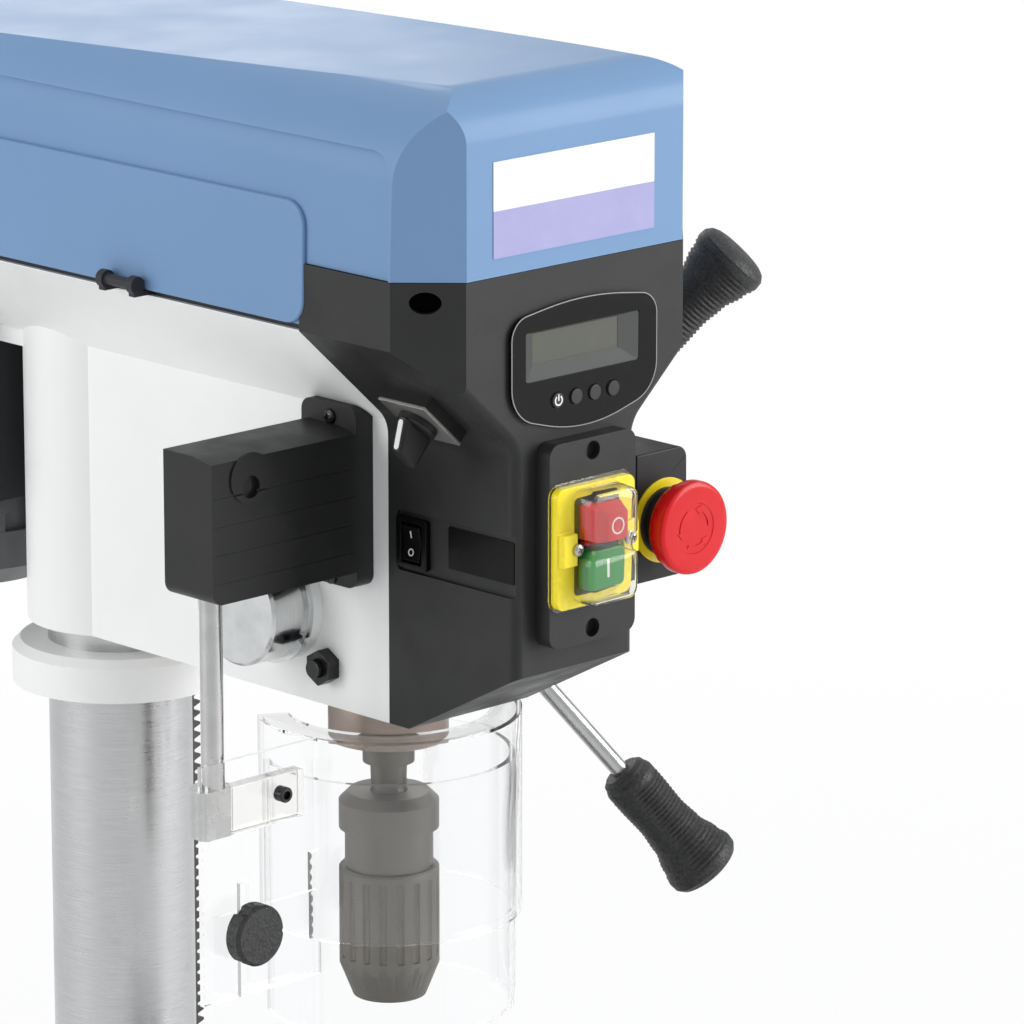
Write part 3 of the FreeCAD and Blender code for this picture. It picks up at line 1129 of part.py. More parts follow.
def make_emergency_stop():
    centre, level, button_level = low_half + d.estop_width / 2, d.estop_level, d.mushroom_level
    front = d.console_front + d.lcd_recess
    start = front - d.estop_depth
    box = new_body("estop_housing", head_at)
    pad(box, "XZ", start, d.estop_depth, rectangle(d.estop_width, d.estop_height, centre, level))
    half_width, half_height = d.estop_width / 2, d.estop_height / 2
    blend(box, "Fillet", d.plate_corner,
          *[(centre + half_width, -start - d.estop_depth / 2, level + z * half_height) for z in (-1, 1)])
    collar = d.estop_collar / 2
    pad(box, "XZ", front - d.overrun, d.estop_collar_length - d.estop_travel / 2 + d.overrun,
        circle(collar, centre, button_level))
    stem = d.mushroom_stem / 2
    pocket(box, "XZ", front - d.estop_depth / 2, d.estop_depth, circle(stem + d.running_fit, centre, button_level))
    head_back = front + d.estop_collar_length + d.estop_travel / 2
    button = new_body("estop_button", at_head(centre, head_back, button_level), FORWARD)
    cap, length = d.mushroom_diameter / 2, d.mushroom_length
    reach = d.estop_depth / 2 - d.estop_travel + d.estop_collar_length
    revolve(button, [(0, -reach), (stem, -reach), (stem, 0), (cap * 0.92, 0), (cap, length * 0.15),
                     (cap, length * 0.6), (cap * 0.88, length * 0.85), (cap * 0.6, length), (0, length)])


def flare_place(share, forward, rise):
    """A place on the left flare: a share of the way up from the bend, lifted off its face."""
    x = -low_half - flare_run * share + rise * flare_face[0]
    z = d.flare_low + flare_rise * share + rise * flare_face[2]
    return at_head(x, forward, z)


def make_rotary_switch():
    out = turn_to(flare_face)
    side, rise = d.rotary_plate_side, d.rotary_block_rise
    plate = new_body("rotary_plate", flare_place(d.rotary_share, d.rotary_forward, 0), out)
    pad(plate, "XY", 0, rise, rectangle(side - d.seat_gap * 2, side - d.seat_gap * 2))
    pad(plate, "XY", rise, d.rotary_plate_thickness, rectangle(side, side))
    knob_at = flare_place(d.rotary_share, d.rotary_forward, rise + d.rotary_plate_thickness + d.seat_gap)
    knob = new_body("rotary_knob", knob_at, out)
    # a round collar, and the bar that fingers turn, across it
    collar, length = d.rotary_collar, d.rotary_knob_length
    pad(knob, "XY", 0, collar, circle(d.rotary_knob / 2))
    straight = d.rotary_bar_length - d.rotary_bar
    pad(knob, "XY", collar, length - collar, rectangle(straight, d.rotary_bar))
    pad(knob, "XY", collar, length - collar,
        circle(d.rotary_bar / 2, -straight / 2), circle(d.rotary_bar / 2, straight / 2))


def make_rocker():
    rocker = new_body("rocker_switch", at_head(-low_half + d.rocker_depth / 2, d.rocker_forward, d.rocker_level))
    half_height, half_width = d.rocker_height / 2, d.rocker_width / 2
    barrel, outer = d.rocker_depth * 0.35, -d.rocker_depth / 2 - d.rocker_proud
    dip = d.rocker_proud * 0.8
    # a round barrel on the pivot carries the dished face
    pad(rocker, "XZ", -half_width, half_width * 2, circle(barrel))
    pad(rocker, "XZ", -half_width, half_width * 2,
        [(0, -barrel), (0, barrel), (outer + dip * 2, half_height * 0.97),
         (outer, half_height * 0.97), (outer + dip, 0), (outer, -half_height * 0.97),
         (outer + dip * 2, -half_height * 0.97)])


def make_guard_box():
    body = new_body("guard_switch_box", head_at)
    flange_out = low_half + d.box_flange_thickness
    flange_back = d.box_front - d.box_flange_width
    flange_top = d.box_flange_foot + d.box_flange_height
    pad(body, "YZ", -flange_out, d.box_flange_thickness,
        span(-d.box_front, -flange_back, d.box_flange_foot, flange_top))
    blend(body, "Fillet", d.plate_corner,
          *[(-low_half - d.box_flange_thickness / 2, -forward, level)
            for forward in (d.box_front, flange_back) for level in (d.box_flange_foot, flange_top)])
    # the flange's inner edge clears the bend of the casting
    lean = flare_run / flare_rise
    pocket(body, "XZ", flange_back - d.overrun, d.box_flange_width + d.overrun * 2,
           [(-low_half + d.overrun, d.flare_low - d.seat_gap - d.overrun / lean),
            (-low_half + d.overrun, flange_top + d.overrun),
            (-low_half - (flange_top + d.overrun + d.seat_gap - d.flare_low) * lean, flange_top + d.overrun)])
    box_back = d.box_front - d.box_depth
    pad(body, "YZ", -flange_out - d.box_reach, d.box_reach,
        [(-d.box_front, d.box_foot), (-d.box_front, d.box_top - d.box_bevel_drop),
         (-d.box_front + d.box_bevel_depth, d.box_top), (-box_back, d.box_top), (-box_back, d.box_foot)])
    out = -flange_out - d.box_reach
    blend(body, "Fillet", d.plate_corner, (out, -(d.box_front + box_back) / 2, d.box_foot))
    boss_x = -d.guard_rod_out + d.switch_corner
    pad(body, "XZ", d.box_front, d.box_boss_rise, circle(d.box_boss / 2, boss_x, d.box_boss_level))
    pocket(body, "XZ", d.box_front - d.box_boss_rise * 2, d.box_boss_rise * 4,
           circle(d.box_boss_recess / 2, boss_x, d.box_boss_level - d.box_boss_rise * 4))
    # the guard's rod turns in a deep hole from below
    pocket(body, "XY", d.box_foot - d.overrun, d.box_depth + d.overrun,
           circle(d.guard_rod / 2 + d.running_fit, -d.guard_rod_out, -d.guard_rod_back))


def arc_wall(body, start, height, outer, inner):
    """A round wall that is open at the back."""
    pad(body, "XY", start, height, circle(outer), circle(inner))


def make_guard():
    outer, wall = d.guard_diameter / 2, d.guard_wall
    mouth = plain(d.guard_open_angle) / 2
    reach = outer * 2
    spread = math.tan(math.radians(mouth))
    # wedge of the open back, in plan
    wedge = [(0, 0), (reach * spread, reach), (-reach * spread, reach)]
    wing = d.guard_rod_back + d.guard_rod / 2 + d.seat_gap
    lower_wing = wing - wall - d.seat_gap * 2
    upper = new_body("guard_upper_shield", head_at)
    foot = d.guard_top - d.guard_upper_height
    pad(upper, "XY", foot, d.guard_upper_height, circle(outer), circle(outer - wall))
    pad(upper, "XY", d.guard_top - wall, wall, circle(outer - wall / 2), circle(d.guard_mouth / 2))
    pocket(upper, "XY", foot - d.overrun, d.guard_upper_height + d.overrun * 2, wedge)
    wing_foot = foot - wall * 6
    pad(upper, "XZ", wing, wall,
        span(-d.wing_reach, -outer + wall * 1.5, wing_foot, d.guard_top))
    knob_low, knob_high = d.guard_knob_level - d.guard_slide / 2, d.guard_knob_level + d.guard_slide / 3
    slot = d.guard_rod / 2 + d.seat_gap
    pocket(upper, "XZ", wing - d.overrun, wall + d.overrun * 2,
           span(-d.guard_knob_out - slot / 2, -d.guard_knob_out + slot / 2, knob_low - slot, knob_high + slot))
    # the lower shield's wing passes through a slit in the round wall
    lower_top = knob_high - d.guard_slide / 6
    pocket(upper, "XY", foot - d.overrun, lower_top + d.guard_slide / 3 - foot + d.overrun * 2,
           span(-outer - d.overrun, -outer + wall * 4, -wing + d.seat_gap / 3, -lower_wing + d.seat_gap * 2))

    lower = new_body("guard_lower_shield", head_at)
    inner_outer = outer - wall - d.seat_gap * 2
    lower_foot = d.guard_lower_top - d.guard_lower_height
    pad(lower, "XY", lower_foot, d.guard_lower_height, circle(inner_outer), circle(inner_outer - wall))
    pocket(lower, "XY", lower_foot - d.overrun, d.guard_lower_height + d.overrun * 2, wedge)
    pad(lower, "XZ", lower_wing, wall,
        span(-d.guard_knob_out - d.guard_knob / 2, -inner_outer + wall * 1.5, lower_foot, lower_top))
    stud = rod(slot / 2 - d.seat_gap, wall * 3,
               at_head(-d.guard_knob_out, lower_wing - d.seat_gap, d.guard_knob_level), FORWARD)
    hole = rod(slot / 2 - d.seat_gap + d.running_fit, wall * 3,
               at_head(-d.guard_knob_out, lower_wing - wall, d.guard_knob_level), FORWARD)
    lower.Label = "lower_blank"
    node("guard_lower_shield", cut(lower, hole))
    knob_face = at_head(-d.guard_knob_out, wing + wall + d.seat_gap, d.guard_knob_level)
    knob = doc.addObject("PartDesign::Body", "knob_blank")
    place(knob, knob_face, FORWARD)
    radius, length = d.guard_knob / 2, d.guard_knob_length
    revolve(knob, [(0, 0), (radius * 0.7, 0), (radius * 0.7, length * 0.2), (radius, length * 0.25),
                   (radius, length * 0.85), (radius * 0.9, length), (0, length)])
    flute = pocket(knob, "XY", -d.overrun, length * 2, circle(radius * 0.2, radius * 1.08, 0))
    polar(knob, flute, 8)
    node("guard_knob", fused(knob, stud))

    # arm: the upright rod, and the bracket that holds the upper shield's wing
    top = d.box_foot + d.box_depth - d.overrun * 2
    low = d.guard_top - d.bracket_height * 1.6
    upright = rod(d.guard_rod / 2, top - low, at_head(-d.guard_rod_out, d.guard_rod_back, low))
    boss = rod(d.guard_rod, d.bracket_height, at_head(-d.guard_rod_out, d.guard_rod_back, low))
    bar_width = d.guard_rod_out - outer - d.bracket_thickness
    bar = block(bar_width, d.bracket_thickness * 1.6, d.bracket_height,
                at_head(-d.guard_rod_out + bar_width / 2, wing - d.bracket_thickness * 0.8, low))
    window = block(d.wing_reach * 2, d.guard_rod * 3, d.bracket_height * 2,
                   at_head(-d.guard_rod_out, wing - d.running_fit + d.guard_rod * 1.5, low - d.overrun))
    node("guard_arm", fused(cut(fused(boss, bar), window), upright))


def step_radius(level, rising):
    """The rim radius of one pulley step, counted from the bottom."""
    last = whole(d.steps_count) - 1
    return (d.step_small + d.step_rise * (level if rising else last - level)) / 2


def make_pulley(label, at, bore, rising, sleeve=0):
    body = new_body(label, at)
    outline = [(bore, -sleeve)]
    if sleeve:
        outline += [(d.pulley_sleeve / 2, -sleeve), (d.pulley_sleeve / 2, 0)]
    wall = d.groove_wall
    taper = wall / 2
    depth = d.belt_thickness + d.overrun
    for level in range(whole(d.steps_count)):
        radius = step_radius(level, rising)
        low, high = d.step_height * level, d.step_height * (level + 1)
        outline += [(radius, low), (radius, low + wall), (radius - depth, low + wall + taper),
                    (radius - depth, high - wall - taper), (radius, high - wall), (radius, high)]
    outline.append((bore, d.step_height * d.steps_count))
    revolve(body, outline)
    return body


def belt_loop(first, second):
    """A wedge belt round two pulleys that stand one behind the other."""
    (y_one, radius_one), (y_two, radius_two) = [(plain(y), plain(radius)) for y, radius in (first, second)]
    inset = plain(d.belt_thickness) / 2
    radius_one, radius_two = radius_one - inset, radius_two - inset
    gap = y_two - y_one
    lean = math.asin((radius_one - radius_two) / gap)

    def touch(y, radius, side):
        return FreeCAD.Vector(side * radius * math.cos(lean), y + radius * math.sin(lean), 0)

    front = Part.Arc(touch(y_one, radius_one, 1), FreeCAD.Vector(0, y_one - radius_one, 0),
                     touch(y_one, radius_one, -1))
    rear = Part.Arc(touch(y_two, radius_two, -1), FreeCAD.Vector(0, y_two + radius_two, 0),
                    touch(y_two, radius_two, 1))
    sides = [Part.LineSegment(touch(y_one, radius_one, -1), touch(y_two, radius_two, -1)),
             Part.LineSegment(touch(y_two, radius_two, 1), touch(y_one, radius_one, 1))]
    path = Part.Wire([front.toShape(), sides[0].toShape(), rear.toShape(), sides[1].toShape()])
    outer_half = (plain(d.step_height) - plain(d.groove_wall) * 2) / 2 - plain(d.seat_gap)
    inner_half = outer_half - plain(d.groove_wall) / 2
    start = touch(y_one, radius_one, 1)
    outward = (start - FreeCAD.Vector(0, y_one, 0)).normalize()
    up = FreeCAD.Vector(0, 0, 1)
    corners = [start + outward * inset + up * outer_half, start + outward * inset - up * outer_half,
               start - outward * inset - up * inner_half, start - outward * inset + up * inner_half]
    section = Part.makePolygon(corners + corners[:1])
    return path.makePipeShell([section], True, False)


def make_belt_drive():
    foot = d.head_level + d.pulley_foot
    sleeve = d.pulley_foot - d.quill_length - d.seat_gap * 10
    spline = d.spline_diameter / 2 + d.running_fit
    make_pulley("spindle_pulley", (0, spindle_y, foot), spline, False, sleeve)
    idler_y, motor_y = spindle_y + d.idler_back, spindle_y + d.motor_back
    make_pulley("idler_pulley", (0, idler_y, foot), d.idler_post / 2 + d.running_fit, True)
    pulley = make_pulley("motor_pulley", (0, motor_y, foot), d.motor_shaft / 2 + d.running_fit, False)
    pulley.Label = "motor_pulley_blank"
    shaft_top = d.step_height * d.steps_count - d.spindle_collar_length
    shaft_foot = d.head_level + d.motor_foot + d.motor_length - d.motor_shaft
    node("motor_pulley", fused(pulley, rod(d.motor_shaft / 2 + d.running_fit, foot + shaft_top - shaft_foot,
                                           (0, motor_y, shaft_foot))))
    middle = foot + d.step_height / 2
    front_level, rear_level = 1, 2
    front = belt_loop((0, step_radius(front_level, False)), (d.idler_back, step_radius(front_level, True)))
    solid("front_belt", front, (0, spindle_y, middle + d.step_height * front_level))
    rear = belt_loop((d.idler_back, step_radius(rear_level, True)), (d.motor_back, step_radius(rear_level, False)))
    solid("rear_belt", rear, (0, spindle_y, middle + d.step_height * rear_level))

    # idler arm: pivot in the casting, flat bar, and the post that carries the idler
    level = d.head_level + tray_top + d.seat_gap
    thick = d.pulley_foot - tray_top - d.seat_gap * 2
    pivot_y = spindle_y + d.quill_stroke / 2
    pivot_foot = d.head_level + d.flare_low + d.pocket_wall * 2 + d.seat_gap
    pivot = rod(d.idler_post / 2, level - pivot_foot, (d.idler_pivot_out, pivot_y, pivot_foot))
    run_x, run_y = plain(d.idler_pivot_out), plain(idler_y - pivot_y)
    bar_angle = FreeCAD.Rotation(FreeCAD.Vector(0, 0, 1), math.degrees(math.atan2(run_x, run_y)))
    length = math.hypot(run_x, run_y)
    bar_holder = doc.addObject("Part::Box", "bar")
    bind(bar_holder, "Length", d.idler_post * 1.6)
    bar_holder.Width = length
    bind(bar_holder, "Height", thick)
    half = plain(d.idler_post) * 0.8
    corner = bar_angle.multVec(FreeCAD.Vector(-half, 0, 0))
    bar_holder.Placement = FreeCAD.Placement(FreeCAD.Vector(0, 0, 0), bar_angle)
    place(bar_holder, (d.idler_pivot_out + corner.x, pivot_y + corner.y, level))
    ends = [rod(d.idler_post, thick, (d.idler_pivot_out, pivot_y, level)),
            rod(d.idler_post, thick, (0, idler_y, level))]
    post = rod(d.idler_post / 2, d.step_height * d.steps_count + thick + d.overrun, (0, idler_y, level))
    node("idler_arm", fused(pivot, bar_holder, post, *ends))


def make_belt_tray():
    body = new_body("belt_tray", (0, spindle_y, d.head_level + d.tray_level))
    half = top_half - d.cover_wall
    back = d.cover_back - d.cover_wall - d.overrun
    pad(body, "XY", 0, d.tray_plate, span(-half, half, -d.console_back + d.seat_gap, back))
    for side in (-1, 1):
        blend(body, "Fillet", d.cover_tail * 0.7, (side * half, back, d.tray_plate / 2))
    # rolled lip under the back edge stiffens the overhang
    lip_y = back - d.cover_tail
    for side in (-1, 1):
        edge = side * (half - d.tray_plate / 2)
        pad(body, "XY", -d.tray_roll, d.tray_roll + d.tray_plate / 2,
            rectangle(d.tray_plate, lip_y - tray_back - d.tray_plate, edge, (lip_y + tray_back) / 2))
    through = d.tray_plate + d.overrun * 2
    room = d.pulley_sleeve / 2 + d.pocket_wall / 2
    pocket(body, "XY", -d.overrun, through, circle(room))
    pocket(body, "XY", -d.overrun, through,
           circle(d.idler_post / 2 + d.running_fit, d.idler_pivot_out, d.quill_stroke / 2))
    shaft_room = d.motor_shaft
    pocket(body, "XY", -d.overrun, through,
           rectangle(shaft_room * 2, d.tension_travel, 0, d.motor_back - d.tension_travel / 2))
    pocket(body, "XY", -d.overrun, through, circle(shaft_room, 0, d.motor_back))
    pocket(body, "XY", -d.overrun, through, circle(shaft_room, 0, d.motor_back - d.tension_travel))
    # two hinge ears with their pins on the left
    ears = []
    for share in hinge_shares:
        y = spindle_y + (d.cover_back - d.console_back) * share
        level = d.head_level + hinge_level
        size = d.hinge_pin
        for side in (-1, 1):
            ear_y = y + side * size * 1.6
            middle, foot = ear_y + side * size * 0.4, d.head_level + d.tray_level
            ears.append(rod(size * 0.8, size * 0.8, (hinge_x, middle + size * 0.4, level), FORWARD))
            strap = block(-hinge_x - half + size, size * 0.8, d.tray_plate,
                          ((hinge_x - half) / 2 + size / 2, middle, foot))
            rise = block(size * 0.8, size * 0.8, level - foot, (hinge_x, middle, foot))
            ears += [strap, rise]
        ears.append(rod(size / 2, size * 4.4, (hinge_x, y + size * 2.2, level), FORWARD))
    body.Label = "tray_blank"
    node("belt_tray", fused(body, *ears))


hinge_shares = (0.22, 0.78)


def cover_form(inset):
    """The cover's outer form, or its inside when an inset is given."""
    half, shoulder, crest = cover_half - inset, cover_half * 0.975 - inset, d.cover_top - inset
    foot = tray_top + d.seat_gap - (d.overrun if inset else 0)
    depth = d.console_front + d.cover_back
    across = doc.addObject("PartDesign::Body", "cover_across")
    place(across, head_at)
    pad(across, "XZ", -d.cover_back - d.overrun, depth + d.overrun * 2,
        [(-half, foot), (half, foot), (shoulder, crest), (-shoulder, crest)])
    middle = d.throat / 2
    blend(across, "Fillet", d.cover_shoulder - inset, (-shoulder, middle, crest), (shoulder, middle, crest))
    plan = doc.addObject("PartDesign::Body", "cover_plan")
    place(plan, head_at)
    front, back = -d.console_front + inset, d.cover_back - inset
    corner = d.console_corner + d.overrun
    pad(plan, "XY", foot, d.cover_top,
        [(-half, back), (-half, front + corner), (-half + corner, front), (half - corner, front),
         (half, front + corner), (half, back)])
    level = d.cover_top - d.cover_shoulder
    blend(plan, "Fillet", d.cover_tail - inset, (-half, back, level), (half, back, level))
    side_view = doc.addObject("PartDesign::Body", "cover_side")
    place(side_view, head_at)
    top_front, top_back = d.cover_top - inset, d.cover_top - d.cover_fall - inset
    pad(side_view, "YZ", -half - d.overrun, half * 2 + d.overrun * 2,
        [(back, foot), (front, foot), (front, top_front), (back, top_back)])
    blend(side_view, "Fillet", d.cover_brow - inset, (half, front, top_front))
    blend(side_view, "Fillet", d.cover_tail - inset, (half, back, top_back))
    return common(across, plan, side_view)


hinge_x = -(d.head_top_width / 2 + d.cover_overhang + d.hinge_pin * 1.1)
hinge_level = tray_top + d.hinge_pin * 0.6


def make_cover():
    shell = cut(cover_form(0), cover_form(d.cover_wall))
    front_room = block(d.head_top_width * 2, d.console_front, d.seam_level - d.tray_level + d.seat_gap,
                       at_head(0, d.console_back + d.console_front / 2 - d.seat_gap, d.tray_level))
    knuckles, bores = [], []
    for share in hinge_shares:
        y = spindle_y + (d.cover_back - d.console_back) * share
        size = d.hinge_pin
        level = d.head_level + hinge_level
        knuckles.append(rod(size * 0.8, size * 2.2, (hinge_x, y + size * 1.1, level), FORWARD))
        knuckles.append(block(size * 1.2, size * 2.2, size * 0.7, (hinge_x + size * 0.6, y, level)))
        bores.append(rod(size / 2 + d.running_fit, size * 3, (hinge_x, y + size * 1.5, level), FORWARD))
    opened = cut(shell, front_room)
    node("belt_cover", cut(fused(opened, *knuckles), *bores))


def make_motor():
    motor_y = spindle_y + d.motor_back
    foot = d.head_level + d.motor_foot
    body = new_body("motor_housing", (0, motor_y, foot))
    radius, length = d.motor_diameter / 2, d.motor_length
    bell = length * 0.16
    waist = radius - d.fin_depth
    revolve(body, [(0, 0), (radius * 0.8, 0), (radius, bell * 0.35), (radius, bell), (waist, bell),
                   (waist, length - bell), (radius, length - bell), (radius, length - bell * 0.35),
                   (radius * 0.85, length), (d.motor_shaft / 2 + d.seat_gap, length),
                   (d.motor_shaft / 2 + d.seat_gap, length - d.motor_shaft - d.seat_gap * 2),
                   (0, length - d.motor_shaft - d.seat_gap * 2)])
    fin = pad(body, "XY", bell * 0.9, length - bell * 1.8,
              rectangle(d.fin_depth * 1.5, d.fin_depth * 0.6, waist + d.fin_depth * 0.2, 0))
    polar(body, fin, d.motor_fins_count)
    box = d.box_terminal
    pad(body, "YZ", -radius - box * 0.3, box * 0.45, rectangle(box * 0.72, box, 0, length / 2))
    # two feet towards the plate
    gap = d.motor_back - radius - plate_back
    for side in (-1, 1):
        pad(body, "XZ", waist * 0.8, radius - waist * 0.8 + gap,
            rectangle(d.slide_bar, length * 0.55, side * radius * 0.45, length / 2))

    plate = d.motor_plate_thickness
    middle, bar_level = spindle_y + plate_back - plate / 2, d.head_level + d.slide_bar_level
    panel = block(d.motor_plate_width, plate, d.motor_plate_height,
                  (0, middle, bar_level + d.slide_bar - d.motor_plate_height))
    bars = [rod(d.slide_bar / 2, d.slide_bar_length - d.tension_travel + plate_back - tray_back - plate,
                (side * d.slide_bar_spacing / 2, middle, bar_level), FORWARD) for side in (-1, 1)]
    node("motor_plate", fused(panel, *bars))

    # the cam shaft in the casting with its lever and knob
    y, level = spindle_y + tension_place[0], d.head_level + tension_place[1]
    out = low_half + d.lock_screw * 3.6
    inner = low_half * 0.65
    shaft = rod(d.lock_screw / 2, out - inner, (inner, y, level), RIGHT)
    hub = rod(d.lock_screw, d.lock_screw, (out - d.lock_screw, y, level), RIGHT)
    swing = (0.25, 0.1, -1)
    size = math.sqrt(sum(part * part for part in swing))
    lever_at = (out - d.lock_screw / 2, y, level)
    lever = rod(d.lock_screw * 0.35, d.lever_length, lever_at, turn_to(swing))
    end = [lever_at[axis] + d.lever_length * (swing[axis] / size) for axis in range(3)]
    node("tension_lever", fused(shaft, hub, lever, ball(d.lever_knob / 2, end)))


plate_back = tray_back + d.motor_plate_thickness + d.tension_travel


def screw(radius, length, at, rotation, head_share=0.9):
    """A pan-head screw with a cross slot; it starts at the head's seat and goes in."""
    inwards = FreeCAD.Rotation(FreeCAD.Vector(1, 0, 0), 180)
    head = rod(radius * 1.8, radius * head_share, at, rotation)
    shank = doc.addObject("Part::Cylinder", "shank")
    bind(shank, "Radius", radius)
    bind(shank, "Height", length)
    place(shank, at, rotation.multiply(inwards))
    return fused(head, shank)


def make_screws():
    screws = []
    # head clamp screws bear on the column from the right
    for level in clamp_screw_levels:
        start = at_head(column_radius + d.running_fit * 2, -d.throat, level)
        length = clamp_radius - column_radius + d.lock_screw / 2
        screws.append(rod(d.lock_screw / 2, length, start, RIGHT))
    # guide screw and its jam nut on the left of the quill
    tip = d.quill_diameter / 2 - d.guide_groove + d.seat_gap
    length = low_half + d.jam_nut_thickness * 1.5 - tip
    head_part = rod(d.guide_screw / 2, length - d.guide_groove, at_head(-tip - d.guide_groove, 0, d.guide_rise), LEFT)
    tip_part = rod(d.guide_screw * 0.38, length, at_head(-tip, 0, d.guide_rise), LEFT)
    screws.append(fused(head_part, tip_part))
    nut = hexagon(d.jam_nut_flats, d.jam_nut_thickness, at_head(-low_half - d.running_fit, 0, d.guide_rise), LEFT)
    hole = rod(d.guide_screw / 2 + d.running_fit, d.jam_nut_thickness * 3,
               at_head(-low_half + d.jam_nut_thickness, 0, d.guide_rise), LEFT)
    screws.append(cut(nut, hole))
    node("fixing_screws", group(*screws))


make_head()
first_gap, rack_pitch = make_quill()
make_spindle()
make_chuck()
make_feed(first_gap, rack_pitch)
make_return_spring()
make_console()
make_display()
make_switch()
make_emergency_stop()
make_rotary_switch()
make_rocker()
make_guard_box()
make_guard()
make_belt_drive()
make_belt_tray()
make_cover()
make_motor()
make_screws()


def export_all():
    doc.recompute()
    for thing in doc.Objects:
        if "Invalid" in thing.State or "Error" in thing.State:
            raise RuntimeError(f"{thing.Label} failed: {thing.State}")
        if thing.TypeId in ("PartDesign::Pocket", "PartDesign::Groove"):
            removed = thing.BaseFeature.Shape.Volume - thing.Shape.Volume
            if removed <= 0:
                raise RuntimeError(f"{thing.Label} removes nothing")
    os.makedirs("parts", exist_ok=True)
    for label, thing in nodes.items():
        shape = thing.Shape
        if shape.isNull() or not shape.isValid():
            raise RuntimeError(f"{label} has no valid shape")
        print(label, len(shape.Solids), "solids", round(shape.Volume / 1000, 1), "cm3")
        shape.exportStep(f"parts/{label}.step")
    print(len(nodes), "nodes")


export_all()
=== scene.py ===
import bpy
import bmesh
import json
import math
from mathutils import Matrix, Vector


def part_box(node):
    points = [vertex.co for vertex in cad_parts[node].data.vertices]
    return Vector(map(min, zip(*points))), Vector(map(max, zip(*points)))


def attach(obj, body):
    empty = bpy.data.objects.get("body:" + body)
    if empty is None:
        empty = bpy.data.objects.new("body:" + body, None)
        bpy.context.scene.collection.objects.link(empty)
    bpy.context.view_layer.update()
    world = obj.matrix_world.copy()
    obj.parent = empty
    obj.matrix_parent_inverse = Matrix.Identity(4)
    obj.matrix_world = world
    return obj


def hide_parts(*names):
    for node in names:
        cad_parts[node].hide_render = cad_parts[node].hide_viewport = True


bl_info = {
    "name": "Bench drill press",
    "version": (1, 0, 0),
    "blender": (4, 5, 0),
    "location": "View3D > Sidebar > Drill press",
    "description": "Dresses the drill press: paint, mouldings, clear guard, knobs, screws and the studio stage",
    "category": "Object",
}

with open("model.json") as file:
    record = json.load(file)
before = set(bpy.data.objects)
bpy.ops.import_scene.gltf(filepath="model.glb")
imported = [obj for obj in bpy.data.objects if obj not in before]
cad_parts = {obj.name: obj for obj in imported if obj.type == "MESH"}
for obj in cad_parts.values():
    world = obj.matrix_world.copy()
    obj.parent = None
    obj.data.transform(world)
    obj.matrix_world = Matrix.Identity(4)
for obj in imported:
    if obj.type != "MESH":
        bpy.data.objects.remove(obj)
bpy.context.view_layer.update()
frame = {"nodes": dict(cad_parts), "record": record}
record = frame["record"]
bodies = record["behaviour"]["bodies"]
body_of = {node: body for body, members in bodies.items() for node in members}

MM = 0.001
# the spindle axis at the quill's lower face: places on the head are given from here
SPINDLE = Vector((0.0, -0.085, 0.660))
# the head, in millimetres: half widths, levels over the quill's face, and the front face's place
HEAD_CASTING_HALF = 43.0
HEAD_TOP_HALF = 104.5
CONSOLE_FRONT = 142.0
FLARE_LOW = 188.6
FLARE_TOP = 245.0
# the belt cover's side: half width at its foot, lean inward for each millimetre up, and round shoulder
COVER_HALF = 105.0
COVER_LEAN = 0.0204
COVER_FOOT = 248.0
COVER_SHOULDER = 48.0
COVER_SHOULDER_LEVEL = 329.0
PLAIN_WHITE = (1.0, 1.0, 1.0, 1.0)
# corners of a CAD mesh closer than this, in metres, are one corner
WELD = 0.000002
# the ways a flat piece can face, each with its upward direction
FRONT = ((0, -1, 0), (0, 0, 1))
LEFT = ((-1, 0, 0), (0, 0, 1))


def head(x, forward, level):
    """A place on the head: millimetres to the right, forward and up from the spindle at the quill's face."""
    return SPINDLE + Vector((x, -forward, level)) * MM


class Nodes:
    """Builds a node tree; an input takes another node's output or a plain value."""

    def __init__(self, tree):
        self.tree = tree

    def add(self, kind, **settings):
        node = self.tree.nodes.new(kind)
        for name, value in settings.items():
            setattr(node, name, value)
        return node

    def feed(self, socket, value):
        if isinstance(value, bpy.types.NodeSocket):
            self.tree.links.new(value, socket)
        else:
            socket.default_value = value

    def math(self, operation, first, second):
        node = self.add("ShaderNodeMath", operation=operation)
        self.feed(node.inputs[0], first)
        self.feed(node.inputs[1], second)
        return node.outputs["Value"]

    def sum(self, first, second):
        return self.math("ADD", first, second)

    def less(self, first, second):
        return self.math("SUBTRACT", first, second)

    def times(self, first, second):
        return self.math("MULTIPLY", first, second)

    def ranged(self, value, low, high, to_low=0.0, to_high=1.0):
        node = self.add("ShaderNodeMapRange")
        for name, amount in (("Value", value), ("From Min", low), ("From Max", high),
                             ("To Min", to_low), ("To Max", to_high)):
            self.feed(node.inputs[name], amount)
        return node.outputs["Result"]

    def mixed(self, share, first, second, output):
        """Sends a mix of two shaders to the tree's output."""
        node = self.add("ShaderNodeMixShader")
        for socket, value in zip(node.inputs, (share, first, second)):
            self.feed(socket, value)
        self.feed(self.tree.nodes[output].inputs["Surface"], node.outputs["Shader"])


